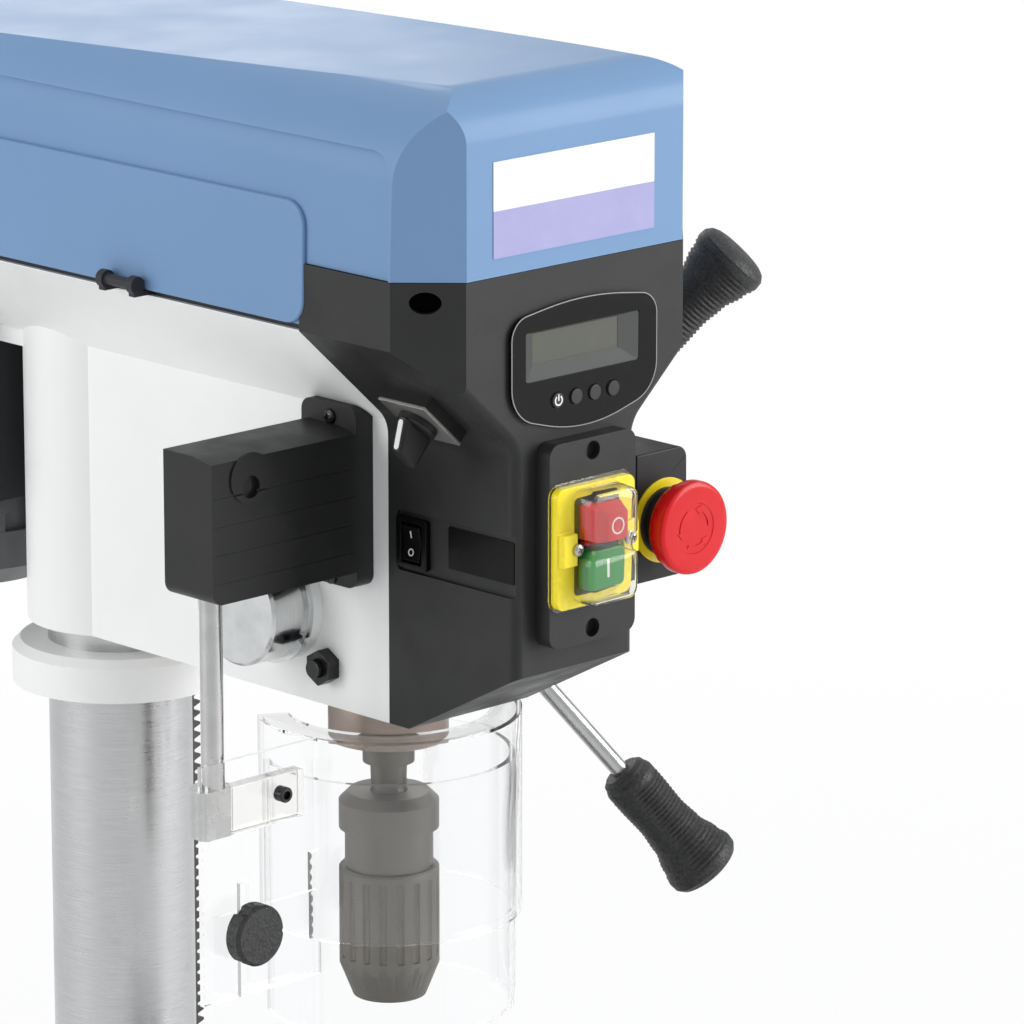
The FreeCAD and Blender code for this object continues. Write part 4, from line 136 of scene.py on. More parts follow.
class Finish(Nodes):
    """A node-built material; textures are laid in the part's own metres."""

    def __init__(self, name, **plain):
        self.material = bpy.data.materials.new(name)
        self.material.use_nodes = True
        super().__init__(self.material.node_tree)
        self.shader = self.tree.nodes["Principled BSDF"]
        for socket, value in plain.items():
            self.shader.inputs[socket.replace("_", " ")].default_value = value
        self.place = self.add("ShaderNodeTexCoord").outputs["Object"]

    def texture(self, kind, stretch, **settings):
        """A texture over the piece, or over its stretched place."""
        place = self.place
        if stretch:
            mapping = self.add("ShaderNodeMapping")
            self.feed(mapping.inputs["Vector"], self.place)
            mapping.inputs["Scale"].default_value = stretch
            place = mapping.outputs["Vector"]
        node = self.add(kind)
        self.feed(node.inputs["Vector"], place)
        for name, value in settings.items():
            node.inputs[name].default_value = value
        return node

    def noise(self, per_metre, detail=3.0, roughness=0.55, stretch=None):
        return self.texture("ShaderNodeTexNoise", stretch, Scale=per_metre, Detail=detail,
                            Roughness=roughness).outputs["Fac"]

    def cells(self, per_metre):
        return self.texture("ShaderNodeTexVoronoi", None, Scale=per_metre).outputs["Distance"]

    def patches(self, per_metre, detail, low=0.3, high=0.7, to_low=0.0, to_high=1.0, roughness=0.55, stretch=None):
        """Soft patches of noise, brought to a range."""
        return self.ranged(self.noise(per_metre, detail, roughness, stretch), low, high, to_low, to_high)

    def blended(self, factor, first, second):
        node = self.add("ShaderNodeMix", data_type="RGBA")
        for socket, value in ((node.inputs["Factor"], factor), (node.inputs[6], first), (node.inputs[7], second)):
            self.feed(socket, value)
        return node.outputs[2]

    def over(self, tone, mask, share, colour):
        """The tone with a share of a colour laid over it where the mask is."""
        return self.blended(self.times(mask, share), tone, colour)

    def facing(self, low, high):
        """1 where a surface turns its side to the ray, as on the rim of clear plastic."""
        weight = self.add("ShaderNodeLayerWeight")
        weight.inputs["Blend"].default_value = 0.5
        return self.ranged(weight.outputs["Facing"], low, high)

    def knurl(self, centre, ridges, per_metre):
        """Height of a diamond knurl round an upright axis."""
        parts = self.add("ShaderNodeSeparateXYZ")
        self.feed(parts.inputs["Vector"], self.place)
        across = self.less(parts.outputs["X"], centre.x)
        along = self.less(parts.outputs["Y"], centre.y)
        turn = self.times(self.math("ARCTAN2", across, along), ridges / math.tau)
        level = self.times(parts.outputs["Z"], per_metre)
        one = self.math("PINGPONG", self.sum(turn, level), 0.5)
        other = self.math("PINGPONG", self.less(turn, level), 0.5)
        return self.times(one, other)

    def edges(self, radius, low=0.02, high=0.25):
        """A mask that is 1 on worn edges, found by rounding them."""
        rounded = self.add("ShaderNodeBevel", samples=4)
        rounded.inputs["Radius"].default_value = radius
        geometry = self.add("ShaderNodeNewGeometry")
        dot = self.add("ShaderNodeVectorMath", operation="DOT_PRODUCT")
        self.feed(dot.inputs[0], rounded.outputs["Normal"])
        self.feed(dot.inputs[1], geometry.outputs["Normal"])
        return self.ranged(self.less(1.0, dot.outputs["Value"]), low, high)

    def bump(self, height, distance, strength=1.0, under=None):
        node = self.add("ShaderNodeBump")
        self.feed(node.inputs["Height"], height)
        node.inputs["Distance"].default_value = distance
        node.inputs["Strength"].default_value = strength
        if under is not None:
            self.feed(node.inputs["Normal"], under)
        return node.outputs["Normal"]

    def done(self, colour, roughness, normal):
        for name, value in (("Base Color", colour), ("Roughness", roughness), ("Normal", normal)):
            self.feed(self.shader.inputs[name], value)
        return self.material


def shade(colour, share):
    return tuple(channel * share for channel in colour[:3]) + (1.0,)


def paler(colour, share, lift):
    return tuple(min(1.0, channel * share + lift) for channel in colour[:3]) + (1.0,)


def painted(name, colour, roughness):
    """Sprayed paint: faint orange peel, cloudy tone, handled edges a little rubbed and paler, partly as a painted
    highlight.
    """
    finish = Finish(name, Coat_Weight=0.05, Coat_Roughness=0.16, Specular_IOR_Level=0.16)
    tone = finish.blended(finish.patches(7.0, 3.0), shade(colour, 1.02), shade(colour, 0.97))
    flow = finish.patches(3.0, 2.0, roughness=0.5, stretch=(6.0, 0.6, 1.0))
    tone = finish.over(tone, flow, 0.4, shade(colour, 0.94))
    # edges made paler: partly rubbed wear, partly a painted highlight along the edges
    worn = finish.times(finish.edges(0.0016, 0.01, 0.2), finish.noise(60.0, 3.0))
    tone = finish.over(tone, worn, 0.4, paler(colour, 1.35, 0.05))
    rough = finish.patches(18.0, 2.0, to_low=roughness - 0.04, to_high=roughness + 0.05)
    return finish.done(tone, rough, finish.bump(finish.noise(650.0, 2.0), 0.00003))


def cast_painted(name, colour):
    """Paint over a sand casting: the casting's grain and shallow waves show through, its edges carry grime."""
    finish = Finish(name, Coat_Weight=0.12, Coat_Roughness=0.25)
    tone = finish.blended(finish.patches(11.0, 3.0), shade(colour, 1.0), shade(colour, 0.965))
    stain = finish.patches(38.0, 6.0, 0.58, 0.86, roughness=0.7)
    tone = finish.over(tone, stain, 0.12, shade(colour, 0.72))
    worn = finish.times(finish.edges(0.0013), finish.patches(210.0, 4.0, 0.52, 0.72))
    tone = finish.over(tone, worn, 0.4, (0.25, 0.24, 0.22, 1.0))
    rough = finish.patches(60.0, 5.0, to_low=0.36, to_high=0.5)
    waves = finish.bump(finish.noise(48.0, 3.0), 0.00035, 0.5)
    return finish.done(tone, rough, finish.bump(finish.noise(900.0, 3.0), 0.00005, 0.7, waves))


def moulded(name, colour, grain=0.00005, roughness=0.46, per_metre=1500.0, scuffs=0.5, gloss=0.3):
    """Moulded plastic: spark-eroded grain, dusty and scuffed in places, paler on its edges."""
    finish = Finish(name, Specular_IOR_Level=gloss)
    cloud = finish.patches(22.0, 5.0, 0.3, 0.75, roughness=0.6)
    tone = finish.blended(cloud, shade(colour, 0.9), shade(colour, 1.15))
    scratch = finish.patches(120.0, 6.0, 0.66, 0.74, roughness=0.7, stretch=(1.0, 1.0, 0.12))
    dust = finish.patches(300.0, 4.0, 0.64, 0.8)
    mark = finish.sum(finish.times(scratch, 0.10 * scuffs), finish.times(dust, 0.12 * scuffs))
    pale = paler(colour, 1.5, 0.06)
    tone = finish.blended(mark, tone, pale)
    tone = finish.over(tone, finish.edges(0.0009), 0.22, pale)
    rough = finish.patches(45.0, 5.0, to_low=roughness - 0.07, to_high=roughness + 0.09)
    return finish.done(tone, rough, finish.bump(finish.noise(per_metre, 2.0), grain))


def leathery(name, colour):
    """Grip rubber with a leather grain: small raised cells, a satin sheen on their tops from a lower roughness and
    a painted highlight, painted shade between them.
    """
    finish = Finish(name, Specular_IOR_Level=0.45)
    cells = finish.cells(620.0)
    # painted highlight on the cells' tops and painted shade in the gaps between them
    tone = finish.blended(finish.ranged(cells, 0.1, 0.8), shade(colour, 1.35), shade(colour, 0.6))
    tone = finish.over(tone, finish.patches(30.0, 4.0), 0.25, paler(colour, 1.2, 0.01))
    rough = finish.ranged(cells, 0.1, 0.8, 0.40, 0.62)
    low = finish.bump(finish.less(0.9, cells), 0.00025, 0.8)
    return finish.done(tone, rough, finish.bump(finish.noise(1600.0, 2.0), 0.00004, 0.7, low))


def turned_steel(name, colour, roughness=0.28, stretch=(1.0, 1.0, 40.0), lines=0.00002, stains=0.25,
                 knurled=False):
    """Turned or ground metal: fine parallel tool marks, a few stains, duller patches; a knurl where asked, with
    painted shade in its grooves.
    """
    finish = Finish(name, Metallic=1.0)
    marks = finish.noise(60.0, 3.0, 0.6, stretch)
    tone = finish.blended(finish.ranged(marks, 0.3, 0.7), shade(colour, 0.88), shade(colour, 1.06))
    tone = finish.over(tone, finish.patches(55.0, 6.0, 0.6, 0.8, roughness=0.65), stains, shade(colour, 0.5))
    rubbed = finish.times(finish.edges(0.0007), finish.patches(260.0, 4.0, 0.4, 0.65))
    tone = finish.over(tone, rubbed, 0.45, paler(colour, 1.5, 0.08))
    patch = finish.patches(30.0, 4.0, to_low=roughness - 0.05, to_high=roughness + 0.1)
    rough = finish.sum(patch, finish.ranged(marks, 0.2, 0.8, -0.04, 0.05))
    skin = finish.bump(marks, lines)
    if knurled:
        diamonds = finish.knurl(SPINDLE, 150, 900.0)
        # painted shade: the knurl's grooves are coloured darker
        tone = finish.blended(finish.ranged(diamonds, 0.0, 0.2, 0.45, 0.0), tone, shade(colour, 0.45))
        skin = finish.bump(diamonds, 0.0006, 1.0, skin)
    return finish.done(tone, rough, skin)


def oiled_black(name, colour, roughness):
    """Blackened steel with an oily, uneven skin; edges rub through to bright metal."""
    finish = Finish(name, Metallic=0.85)
    cloud = finish.patches(85.0, 5.0, 0.3, 0.75, roughness=0.65)
    tone = finish.blended(cloud, shade(colour, 0.75), shade(colour, 1.45))
    bright = finish.times(finish.edges(0.0007), finish.patches(260.0, 4.0, 0.42, 0.62))
    tone = finish.over(tone, bright, 0.6, (0.4, 0.39, 0.37, 1.0))
    rough = finish.patches(140.0, 5.0, to_low=roughness - 0.08, to_high=roughness + 0.14)
    return finish.done(tone, rough, finish.bump(finish.noise(700.0, 4.0), 0.00003))


def clear_sheet(name, tint, rim, bend, roughness):
    """Clear moulding: faint scratches, a thin gloss, and a grey line painted where it turns its side, as painted
    shade for its rims.
    """
    finish = Finish(name, Transmission_Weight=1.0, IOR=bend, Coat_Weight=0.5, Coat_Roughness=0.03)
    scratch = finish.patches(60.0, 6.0, 0.62, 0.7, roughness=0.7, stretch=(1.0, 1.0, 0.08))
    tone = finish.blended(finish.times(scratch, 0.3), tint + (1.0,), (0.9, 0.9, 0.9, 1.0))
    # painted shade: the rim colour is laid where the sheet turns its side to the ray
    tone = finish.blended(finish.facing(0.62, 1.0), tone, rim + (1.0,))
    rough = finish.ranged(scratch, 0.0, 1.0, roughness, roughness + 0.08)
    return finish.done(tone, rough, finish.bump(finish.noise(40.0, 2.0), 0.00006, 0.4))


def glossy(name, colour, roughness, coat=0.25, gloss=0.4):
    """Smooth coloured plastic with faint flow lines and fingerprints."""
    finish = Finish(name, Coat_Weight=coat, Coat_Roughness=0.08, Specular_IOR_Level=gloss)
    tone = finish.blended(finish.patches(60.0, 4.0), shade(colour, 0.96), shade(colour, 1.03))
    tone = finish.over(tone, finish.edges(0.0008), 0.2, paler(colour, 1.25, 0.03))
    touched = finish.patches(180.0, 5.0, 0.55, 0.75, roughness, roughness + 0.14, roughness=0.7)
    return finish.done(tone, touched, finish.bump(finish.noise(220.0, 2.0), 0.00002))


def link(piece):
    bpy.context.scene.collection.objects.link(piece)
    return piece


def smooth(mesh, angle=32.0):
    mesh.polygons.foreach_set("use_smooth", [True] * len(mesh.polygons))
    mesh.set_sharp_from_angle(angle=math.radians(angle))
    mesh.update()


def evaluated(piece):
    """Applies a piece's modifiers to its mesh."""
    graph = bpy.context.evaluated_depsgraph_get()
    mesh = bpy.data.meshes.new_from_object(piece.evaluated_get(graph))
    piece.modifiers.clear()
    old = piece.data
    piece.data = mesh
    bpy.data.meshes.remove(old)
    return piece


def bevelled(piece, width, segments=2, angle=30.0):
    """Rounds a piece's edges; flats keep a flat shading beside them."""
    rounding = piece.modifiers.new("rounding", "BEVEL")
    rounding.width = width * MM
    rounding.segments = segments
    rounding.limit_method = "ANGLE"
    rounding.angle_limit = math.radians(angle)
    rounding.use_clamp_overlap = True
    evaluated(piece)
    smooth(piece.data)
    level = piece.modifiers.new("level", "WEIGHTED_NORMAL")
    level.keep_sharp = True
    return evaluated(piece)


def fixed(piece, finish, body, replaces=()):
    """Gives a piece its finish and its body."""
    piece.data.materials.clear()
    piece.data.materials.append(finishes[finish])
    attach(piece, body)
    if replaces:
        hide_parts(*replaces)


def opened(*meshes):
    """One editable mesh from these."""
    work = bmesh.new()
    for mesh in meshes:
        work.from_mesh(mesh)
    return work


def closed(work, mesh):
    """Writes an editable mesh back into a mesh."""
    work.to_mesh(mesh)
    work.free()
    return mesh


def welded(node):
    """A CAD node's mesh, editable, with its triangles' shared corners made one."""
    work = opened(frame["nodes"][node].data)
    bmesh.ops.remove_doubles(work, verts=work.verts, dist=WELD)
    return work


def copied(node, name):
    """A new piece with the welded mesh of a CAD node, its flat faces whole again."""
    work = welded(node)
    bmesh.ops.dissolve_limit(work, angle_limit=math.radians(0.4), verts=work.verts, edges=work.edges)
    return link(bpy.data.objects.new(name, closed(work, bpy.data.meshes.new(name))))


def carve(piece, *cutters, operation="DIFFERENCE"):
    """Cuts other pieces out of this one, or keeps what it shares with them, and removes them."""
    for cutter in cutters:
        modifier = piece.modifiers.new("cut", "BOOLEAN")
        modifier.operation = operation
        modifier.solver = "EXACT"
        modifier.object = cutter
    evaluated(piece)
    for cutter in cutters:
        bpy.data.objects.remove(cutter)
    return piece


def stand_in(node, piece, finish):
    """Stands a finished piece in for a CAD node."""
    fixed(piece, finish, body_of[node], (node,))


def refine(node, finish, width, segments=2, cutters=(), angle=30.0):
    """Stands a CAD node's form in for it, with rounded edges and any finer cuts."""
    piece = copied(node, f"{node}_form")
    if cutters:
        carve(piece, *cutters)
    stand_in(node, bevelled(piece, width, segments, angle), finish)


def refine_all(*groups):
    """Refines nodes in groups of (finish, edge rounding, segments, nodes)."""
    for finish, width, segments, nodes in groups:
        for node in nodes.split():
            refine(node, finish, width, segments)


def dress(node, finish):
    """Keeps a CAD node as it is and gives it its finish."""
    shown = frame["nodes"][node]
    for slot in shown.material_slots:
        slot.link = "OBJECT"
        slot.material = finishes[finish]
    if not shown.material_slots:
        shown.data.materials.append(finishes[finish])


def mesh_piece(name, vertices, faces):
    """A loose piece from points in metres."""
    mesh = bpy.data.meshes.new(name)
    mesh.from_pydata([tuple(vertex) for vertex in vertices], [], faces)
    mesh.update()
    return link(bpy.data.objects.new(name, mesh))


def basis(origin, out, up):
    """Axes with Z along `out` and Y as near `up` as it can be, at a place."""
    z = Vector(out).normalized()
    x = Vector(up).cross(z).normalized()
    y = z.cross(x)
    return Matrix.Translation(origin) @ Matrix((x, y, z)).transposed().to_4x4()


def rounded_outline(width, height, radius, steps=6):
    points = []
    for corner, (sx, sy) in enumerate(((1, 1), (-1, 1), (-1, -1), (1, -1))):
        for step in range(steps + 1):
            angle = math.radians(90 * corner + 90 * step / steps)
            points.append((sx * (width / 2 - radius) + radius * math.cos(angle),
                           sy * (height / 2 - radius) + radius * math.sin(angle)))
    return points


def arc(radius, turns, squash=1.0):
    return [(radius * math.cos(turn), squash * radius * math.sin(turn)) for turn in turns]


def circle_outline(radius, count=48, squash=1.0):
    return arc(radius, [math.tau * step / count for step in range(count)], squash)


def placed(name, vertices, faces, origin, facing):
    """A closed piece from points in millimetres, stood at a place the way it faces."""
    piece = mesh_piece(name, [Vector(vertex) * MM for vertex in vertices], faces)
    piece.data.transform(basis(origin, *facing))
    return mended(piece)


def mended(piece):
    """Turns a piece's faces outward."""
    work = opened(piece.data)
    bmesh.ops.recalc_face_normals(work, faces=work.faces)
    closed(work, piece.data)
    return piece


def band(low, high, count):
    """Four-sided faces between two rings of points, whose first numbers are given."""
    return [(low + step, low + (step + 1) % count, high + (step + 1) % count, high + step) for step in range(count)]


def lifted(outline, height, x=0.0, y=0.0):
    return [(point[0] + x, point[1] + y, height) for point in outline]


def lofted(name, low, high, origin, facing):
    """A piece between two outlines of (x, y, height) with the same number of points."""
    count = len(low)
    faces = [tuple(range(count))[::-1], tuple(range(count, 2 * count))] + band(0, count, count)
    return placed(name, low + high, faces, origin, facing)


def plate(name, outline, thickness, origin, facing, start=0.0):
    """A flat piece: an outline in millimetres, raised from `start` by its thickness along the way it faces."""
    return lofted(name, lifted(outline, start), lifted(outline, start + thickness), origin, facing)


def ring(name, outer, inner, thickness, origin, facing, start=0.0):
    """A flat frame between two outlines with the same number of points."""
    count, end = len(outer), start + thickness
    vertices = lifted(outer, start) + lifted(outer, end) + lifted(inner, end) + lifted(inner, start)
    faces = []
    for side in range(4):
        faces += band(side * count, (side + 1) % 4 * count, count)
    return placed(name, vertices, faces, origin, facing)


def turned(name, profile, origin, facing, count=64, wave=None):
    """A turned piece from (radius, height) pairs in millimetres, along the way it faces.

    `wave` gives what is added to the radius from the pair's number and the angle, as for ribs."""
    vertices, faces, rows = [], [], []
    for number, (radius, height) in enumerate(profile):
        if radius < 0.001:
            rows.append([len(vertices)])
            vertices.append((0.0, 0.0, height))
            continue
        rows.append(list(range(len(vertices), len(vertices) + count)))
        for step in range(count):
            angle = math.tau * step / count
            reach = radius + (wave(number, angle) if wave else 0.0)
            vertices.append((reach * math.cos(angle), reach * math.sin(angle), height))
    for low, high in zip(rows, rows[1:]):
        if len(low) > 1 and len(high) > 1:
            faces += band(low[0], high[0], count)
        elif len(high) > 1:
            faces += [(low[0], high[(step + 1) % count], high[step]) for step in range(count)]
        elif len(low) > 1:
            faces += [(low[step], low[(step + 1) % count], high[0]) for step in range(count)]
    piece = placed(name, vertices, faces, origin, facing)
    smooth(piece.data)
    return piece


def merged(name, *pieces):
    """Joins loose pieces into one mesh object."""
    mesh = closed(opened(*(piece.data for piece in pieces)), bpy.data.meshes.new(name))
    for piece in pieces:
        bpy.data.objects.remove(piece)
    smooth(mesh)
    return link(bpy.data.objects.new(name, mesh))


def cross_screw(name, origin, facing, radius=3.6, rise=2.2):
    """A pan-head screw with a cross recess."""
    profile = [(0, 0), (radius, 0), (radius, rise * 0.35), (radius * 0.93, rise * 0.65), (radius * 0.7, rise * 0.9),
               (radius * 0.35, rise), (0, rise)]
    screw = turned(name, profile, origin, facing, 32)
    bars = []
    at = basis(origin, *facing)
    for turn in (0.4, 0.4 + math.pi / 2):
        bar = plate("bar", rounded_outline(radius * 1.15, radius * 0.3, radius * 0.1), rise, origin, facing,
                    rise * 0.45)
        bar.data.transform(at @ Matrix.Rotation(turn, 4, "Z") @ at.inverted())
        bars.append(bar)
    carve(screw, *bars)
    smooth(screw.data)
    return screw


def outer_line(node, width, rise):
    """A fine line round the front face of a flat CAD node, made from that face's own outer edge."""
    work = welded(node)
    front = min(face.calc_center_median().y for face in work.faces if face.normal.y < -0.99)
    flat = {face for face in work.faces if face.normal.y < -0.99 and face.calc_center_median().y < front + 0.0001}
    rim = [edge for edge in work.edges if len([face for face in edge.link_faces if face in flat]) == 1]
    beside = {}
    for edge in rim:
        for vertex in edge.verts:
            beside.setdefault(vertex, []).append(edge.other_vert(vertex))
    loop, last = [min(beside, key=lambda vertex: vertex.co.x)], None
    while True:
        following = [vertex for vertex in beside[loop[-1]] if vertex is not last]
        last = loop[-1]
        if not following or following[0] is loop[0]:
            break
        loop.append(following[0])
    points = [vertex.co.copy() for vertex in loop]
    work.free()
    centre = sum(points, Vector()) / len(points)
    turn = sum((a - centre).cross(b - centre).y for a, b in zip(points, points[1:] + points[:1]))
    vertices, faces, count = [], [], len(points)
    inset, sunk = 0.1, -0.3
    for index, point in enumerate(points):
        along = (points[(index + 1) % count] - points[index - 1]).normalized()
        inward = Vector((-along.z, 0, along.x)) * (1 if turn > 0 else -1)
        for offset, level in ((inset, sunk), (inset, rise), (width, rise), (width, sunk)):
            vertices.append(point + (inward * offset - Vector((0, level, 0))) * MM)
    for index in range(count):
        faces += band(index * 4, (index + 1) % count * 4, 4)
    return mended(mesh_piece(f"{node}_line", vertices, faces))


def millimetres(name, description, default):
    return bpy.props.FloatProperty(name=name, description=f"{description}, in millimetres", default=default)


def colour(name, description, default):
    return bpy.props.FloatVectorProperty(name=name, description=description, subtype="COLOR", size=3,
                                         default=default)


class PressSizes(bpy.types.PropertyGroup):
    edge_round: millimetres("Edge rounding", "Rounding of moulded and cast edges", 1.0)
    grip_rib_pitch: millimetres("Grip rib pitch", "Distance between the ribs of the feed grips", 2.6)


class PressColours(bpy.types.PropertyGroup):
    cover: colour("Cover", "Paint of the belt cover", (0.195, 0.33, 0.54))
    casting: colour("Castings", "Paint of the head and column flange", (0.93, 0.93, 0.91))
    console: colour("Console", "Moulded black parts", (0.022, 0.022, 0.022))
    stop: colour("Stop", "Stop button and emergency stop", (0.66, 0.008, 0.012))
    start: colour("Start", "Start button", (0.015, 0.26, 0.04))
    switch: colour("Switch housing", "Yellow switch housing", (0.98, 0.79, 0.015))


finishes = {}


def make_finishes(colours):
    """Makes every material once, from the colours of the panel."""
    black = tuple(colours.console)
    finishes.update(
        cover=painted("cover_paint", tuple(colours.cover), 0.36),
        casting=cast_painted("casting_paint", tuple(colours.casting)),
        console=moulded("console_black", black),
        box=moulded("box_black", tuple(channel * 0.7 for channel in black), 0.00003, 0.42),
        grip=leathery("grip_black", tuple(channel * 1.1 for channel in black)),
        knob=moulded("knob_black", (0.012, 0.012, 0.012), 0.00002, 0.38),
        # painted shade: a near-black matte finish for the inside of the lamp hole
        hollow=moulded("hollow_black", (0.002, 0.002, 0.002), roughness=0.9, scuffs=0.0, gloss=0.0),
        gloss_black=glossy("gloss_black", (0.003, 0.003, 0.003), 0.3, 0.04, 0.14),
        key=moulded("key_black", (0.03, 0.03, 0.03), roughness=0.45, scuffs=0.3),
        stop=glossy("stop_red", tuple(colours.stop), 0.3, 0.1, 0.25),
        start=glossy("start_green", tuple(colours.start), 0.3, 0.1, 0.25),
        switch=glossy("switch_yellow", tuple(colours.switch), 0.26),
        white=glossy("print_white", (0.85, 0.85, 0.84), 0.40, 0.05),
        pale_line=glossy("pale_line", (0.34, 0.34, 0.32), 0.35, 0.1),
        lavender=glossy("plate_lavender", (0.40, 0.39, 0.64), 0.34, 0.05, 0.2),
        plate_white=glossy("plate_white", (0.84, 0.84, 0.85), 0.34, 0.05, 0.2),
        # the third colour of each clear finish is the painted shade on its rims
        clear=clear_sheet("guard_clear", (0.985, 0.988, 0.99), (0.55, 0.55, 0.54), 1.12, 0.02),
        boot=clear_sheet("boot_clear", (0.94, 0.94, 0.91), (0.30, 0.29, 0.26), 1.28, 0.04),
        lcd=glossy("display_grey", (0.105, 0.110, 0.088), 0.34, 0.1, 0.2),
        shelf=glossy("display_shelf", (0.05, 0.052, 0.05), 0.34, 0.1, 0.3),
        column=turned_steel("column_ground", (0.55, 0.55, 0.55), 0.26),
        quill=turned_steel("quill_ground", (0.30, 0.245, 0.215), 0.36, stains=0.7),
        chuck=turned_steel("chuck_satin", (0.150, 0.140, 0.122), 0.42, stains=0.35),
        knurled=turned_steel("chuck_knurl", (0.175, 0.163, 0.142), 0.44, stains=0.3, knurled=True),
        rod=turned_steel("rod_plated", (0.52, 0.52, 0.51), 0.22, (1.0, 1.0, 1.0)),
        chrome=turned_steel("cap_chrome", (0.60, 0.61, 0.61), 0.14, (40.0, 1.0, 1.0), 0.00001, 0.15),
        iron=turned_steel("iron_ground", (0.34, 0.34, 0.34), 0.42, (1.0, 14.0, 1.0), 0.00003, 0.35),
        alloy=turned_steel("pulley_alloy", (0.62, 0.63, 0.64), 0.30),
        zinc=turned_steel("zinc_plate", (0.50, 0.49, 0.46), 0.30, (1.0, 1.0, 1.0)),
        silver=turned_steel("plate_silver", (0.42, 0.41, 0.39), 0.42, (1.0, 20.0, 1.0)),
        dark=oiled_black("steel_black", (0.075, 0.072, 0.068), 0.36),
        screw=oiled_black("screw_black", (0.035, 0.035, 0.035), 0.30),
        belt=moulded("belt_rubber", (0.018, 0.018, 0.019), roughness=0.7, grain=0.0001, per_metre=900.0),
        tray=painted("tray_black", (0.04, 0.04, 0.045), 0.45),
        motor=cast_painted("motor_grey", (0.10, 0.105, 0.11)),
        base=cast_painted("base_grey", (0.34, 0.35, 0.36)),
    )


class PressOperator(bpy.types.Operator):
    """Common ground of the operators that make the drill press's pieces"""
    bl_options = {"REGISTER"}

    def execute(self, context):
        if not finishes:
            make_finishes(context.scene.press_colours)
        self.make(context.scene.press_sizes)
        return {"FINISHED"}


class PRESS_OT_console(PressOperator):
    """Moulded front console with its side band, rocker frame, bare plate and lamp hole"""
    bl_idname = "press.console"
    bl_label = "Front console"

    def make(self, sizes):
        facet = ((-1, -1, 0), (0, 0, 1))
        facet_at = head(-92.0, 127.5, 270.1)
        hole = plate("hole", circle_outline(8.3, 48, 0.69), 16.0, facet_at, facet, -12.0)
        # the side band is sunk into the console's left side; the frame and the plate stand on its floor
        side, floor = -HEAD_CASTING_HALF, -1.8
        band = plate("band", rounded_outline(100.0, 32.5, 2.5), 5.0, head(side, 103.6, 126.2), LEFT, floor)
        refine("front_console", "console", sizes.edge_round, 3, (hole, band), 24.0)
        # painted shade: a dark matte plug stands in the lamp hole for the shade inside it
        painted_shade_plug = plate("lamp_hole_painted_shade_plug", circle_outline(8.25, 40, 0.69), 6.0, facet_at, facet, -10.0)
        fixed(painted_shade_plug, "hollow", "stand")
        rim = ring("rocker_frame", rounded_outline(23.0, 27.0, 1.6), rounded_outline(15.0, 21.6, 0.8), 3.2,
                   head(side, 65.5, 126.0), LEFT, floor)
        fixed(bevelled(rim, 0.5), "gloss_black", "stand")
        bare = plate("side_plate", rounded_outline(48.5, 22.5, 1.0), 0.7, head(side, 115.2, 128.2), LEFT, floor)
        fixed(bevelled(bare, 0.2), "gloss_black", "stand")
        refine("rocker_switch", "gloss_black", 0.4)
        # the two marks lie on the rocker's dished halves, which lean away from its middle
        low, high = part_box("rocker_switch")
        middle = (Vector(low) + Vector(high)) / 2
        dish, lean = 0.77 * MM, 0.174
        ends = []
        for end in (1, -1):
            at = Vector((low[0] + dish, middle.y, middle.z + end * 4.8 * MM))
            ends.append((at, ((-1, 0, -end * lean), (0, 0, 1))))
        marks = (plate("mark_on", rounded_outline(0.7, 4.0, 0.3), 0.25, *ends[0]),
                 ring("mark_off", circle_outline(2.0, 28), circle_outline(1.45, 28), 0.25, *ends[1]))
        fixed(merged("rocker_marks", *marks), "white", "lamp_rocker")


class PRESS_OT_cover(PressOperator):
    """Blue belt cover with its recessed flanks, proud skirt and two-tone front plate"""
    bl_idname = "press.cover"
    bl_label = "Belt cover"

    def make(self, sizes):
        cutters, skirts = [], []
        for side, word in ((-1, "left"), (1, "right")):
            facing = ((side, 0, 0), (0, 0, 1))
            # the flank lies a little under the cover's own surface, and follows it round the shoulder
            panel = plate("flank", rounded_outline(516.0, 150.0, 14.0), 60.0, head(0, -144.5, 270.5), facing, 60.0)
            carve(panel, flank_room(side, 1.6), operation="INTERSECT")
            cutters.append(panel)
            skirt = plate(f"cover_skirt_{word}", rounded_outline(398.0, 64.0, 13.0), 60.0, head(0, -148.0, 280.2),
                          facing, 60.0)
            carve(skirt, flank_room(side, -0.9), flank_room(side, 2.2, False))
            skirts.append(skirt)
        refine("belt_cover", "cover", sizes.edge_round, 3, cutters, 22.0)
        for skirt in skirts:
            fixed(bevelled(skirt, 1.3, 3), "cover", "lid")
        for word, height, level, finish in (("upper", 25.3, 326.95, "plate_white"),
                                            ("lower", 24.2, 302.2, "lavender")):
            half = plate(f"front_plate_{word}", rounded_outline(114.5, height, 0.4), 0.5,
                         head(-1.6, CONSOLE_FRONT, level), FRONT)
            fixed(bevelled(half, 0.15), finish, "lid")


def flank_room(side, depth, outside=True):
    """What lies outside, or inside, a skin that runs a given depth under the cover's side."""
    skin = []
    for level in (COVER_FOOT - 10.0, COVER_SHOULDER_LEVEL):
        skin.append((COVER_HALF - COVER_LEAN * (level - COVER_FOOT) - depth, level))
    centre = skin[-1][0] + depth - COVER_SHOULDER
    for step in range(1, 10):
        angle = math.radians(6.0 * step)
        reach = COVER_SHOULDER - depth
        skin.append((centre + reach * math.cos(angle), COVER_SHOULDER_LEVEL + reach * math.sin(angle)))
    edge = 140.0 if outside else 30.0
    section = skin + [(edge, skin[-1][1]), (edge, skin[0][1])]
    points = [(side * x, level) for x, level in section]
    return plate("room", points, 700.0, SPINDLE, FRONT, -500.0)


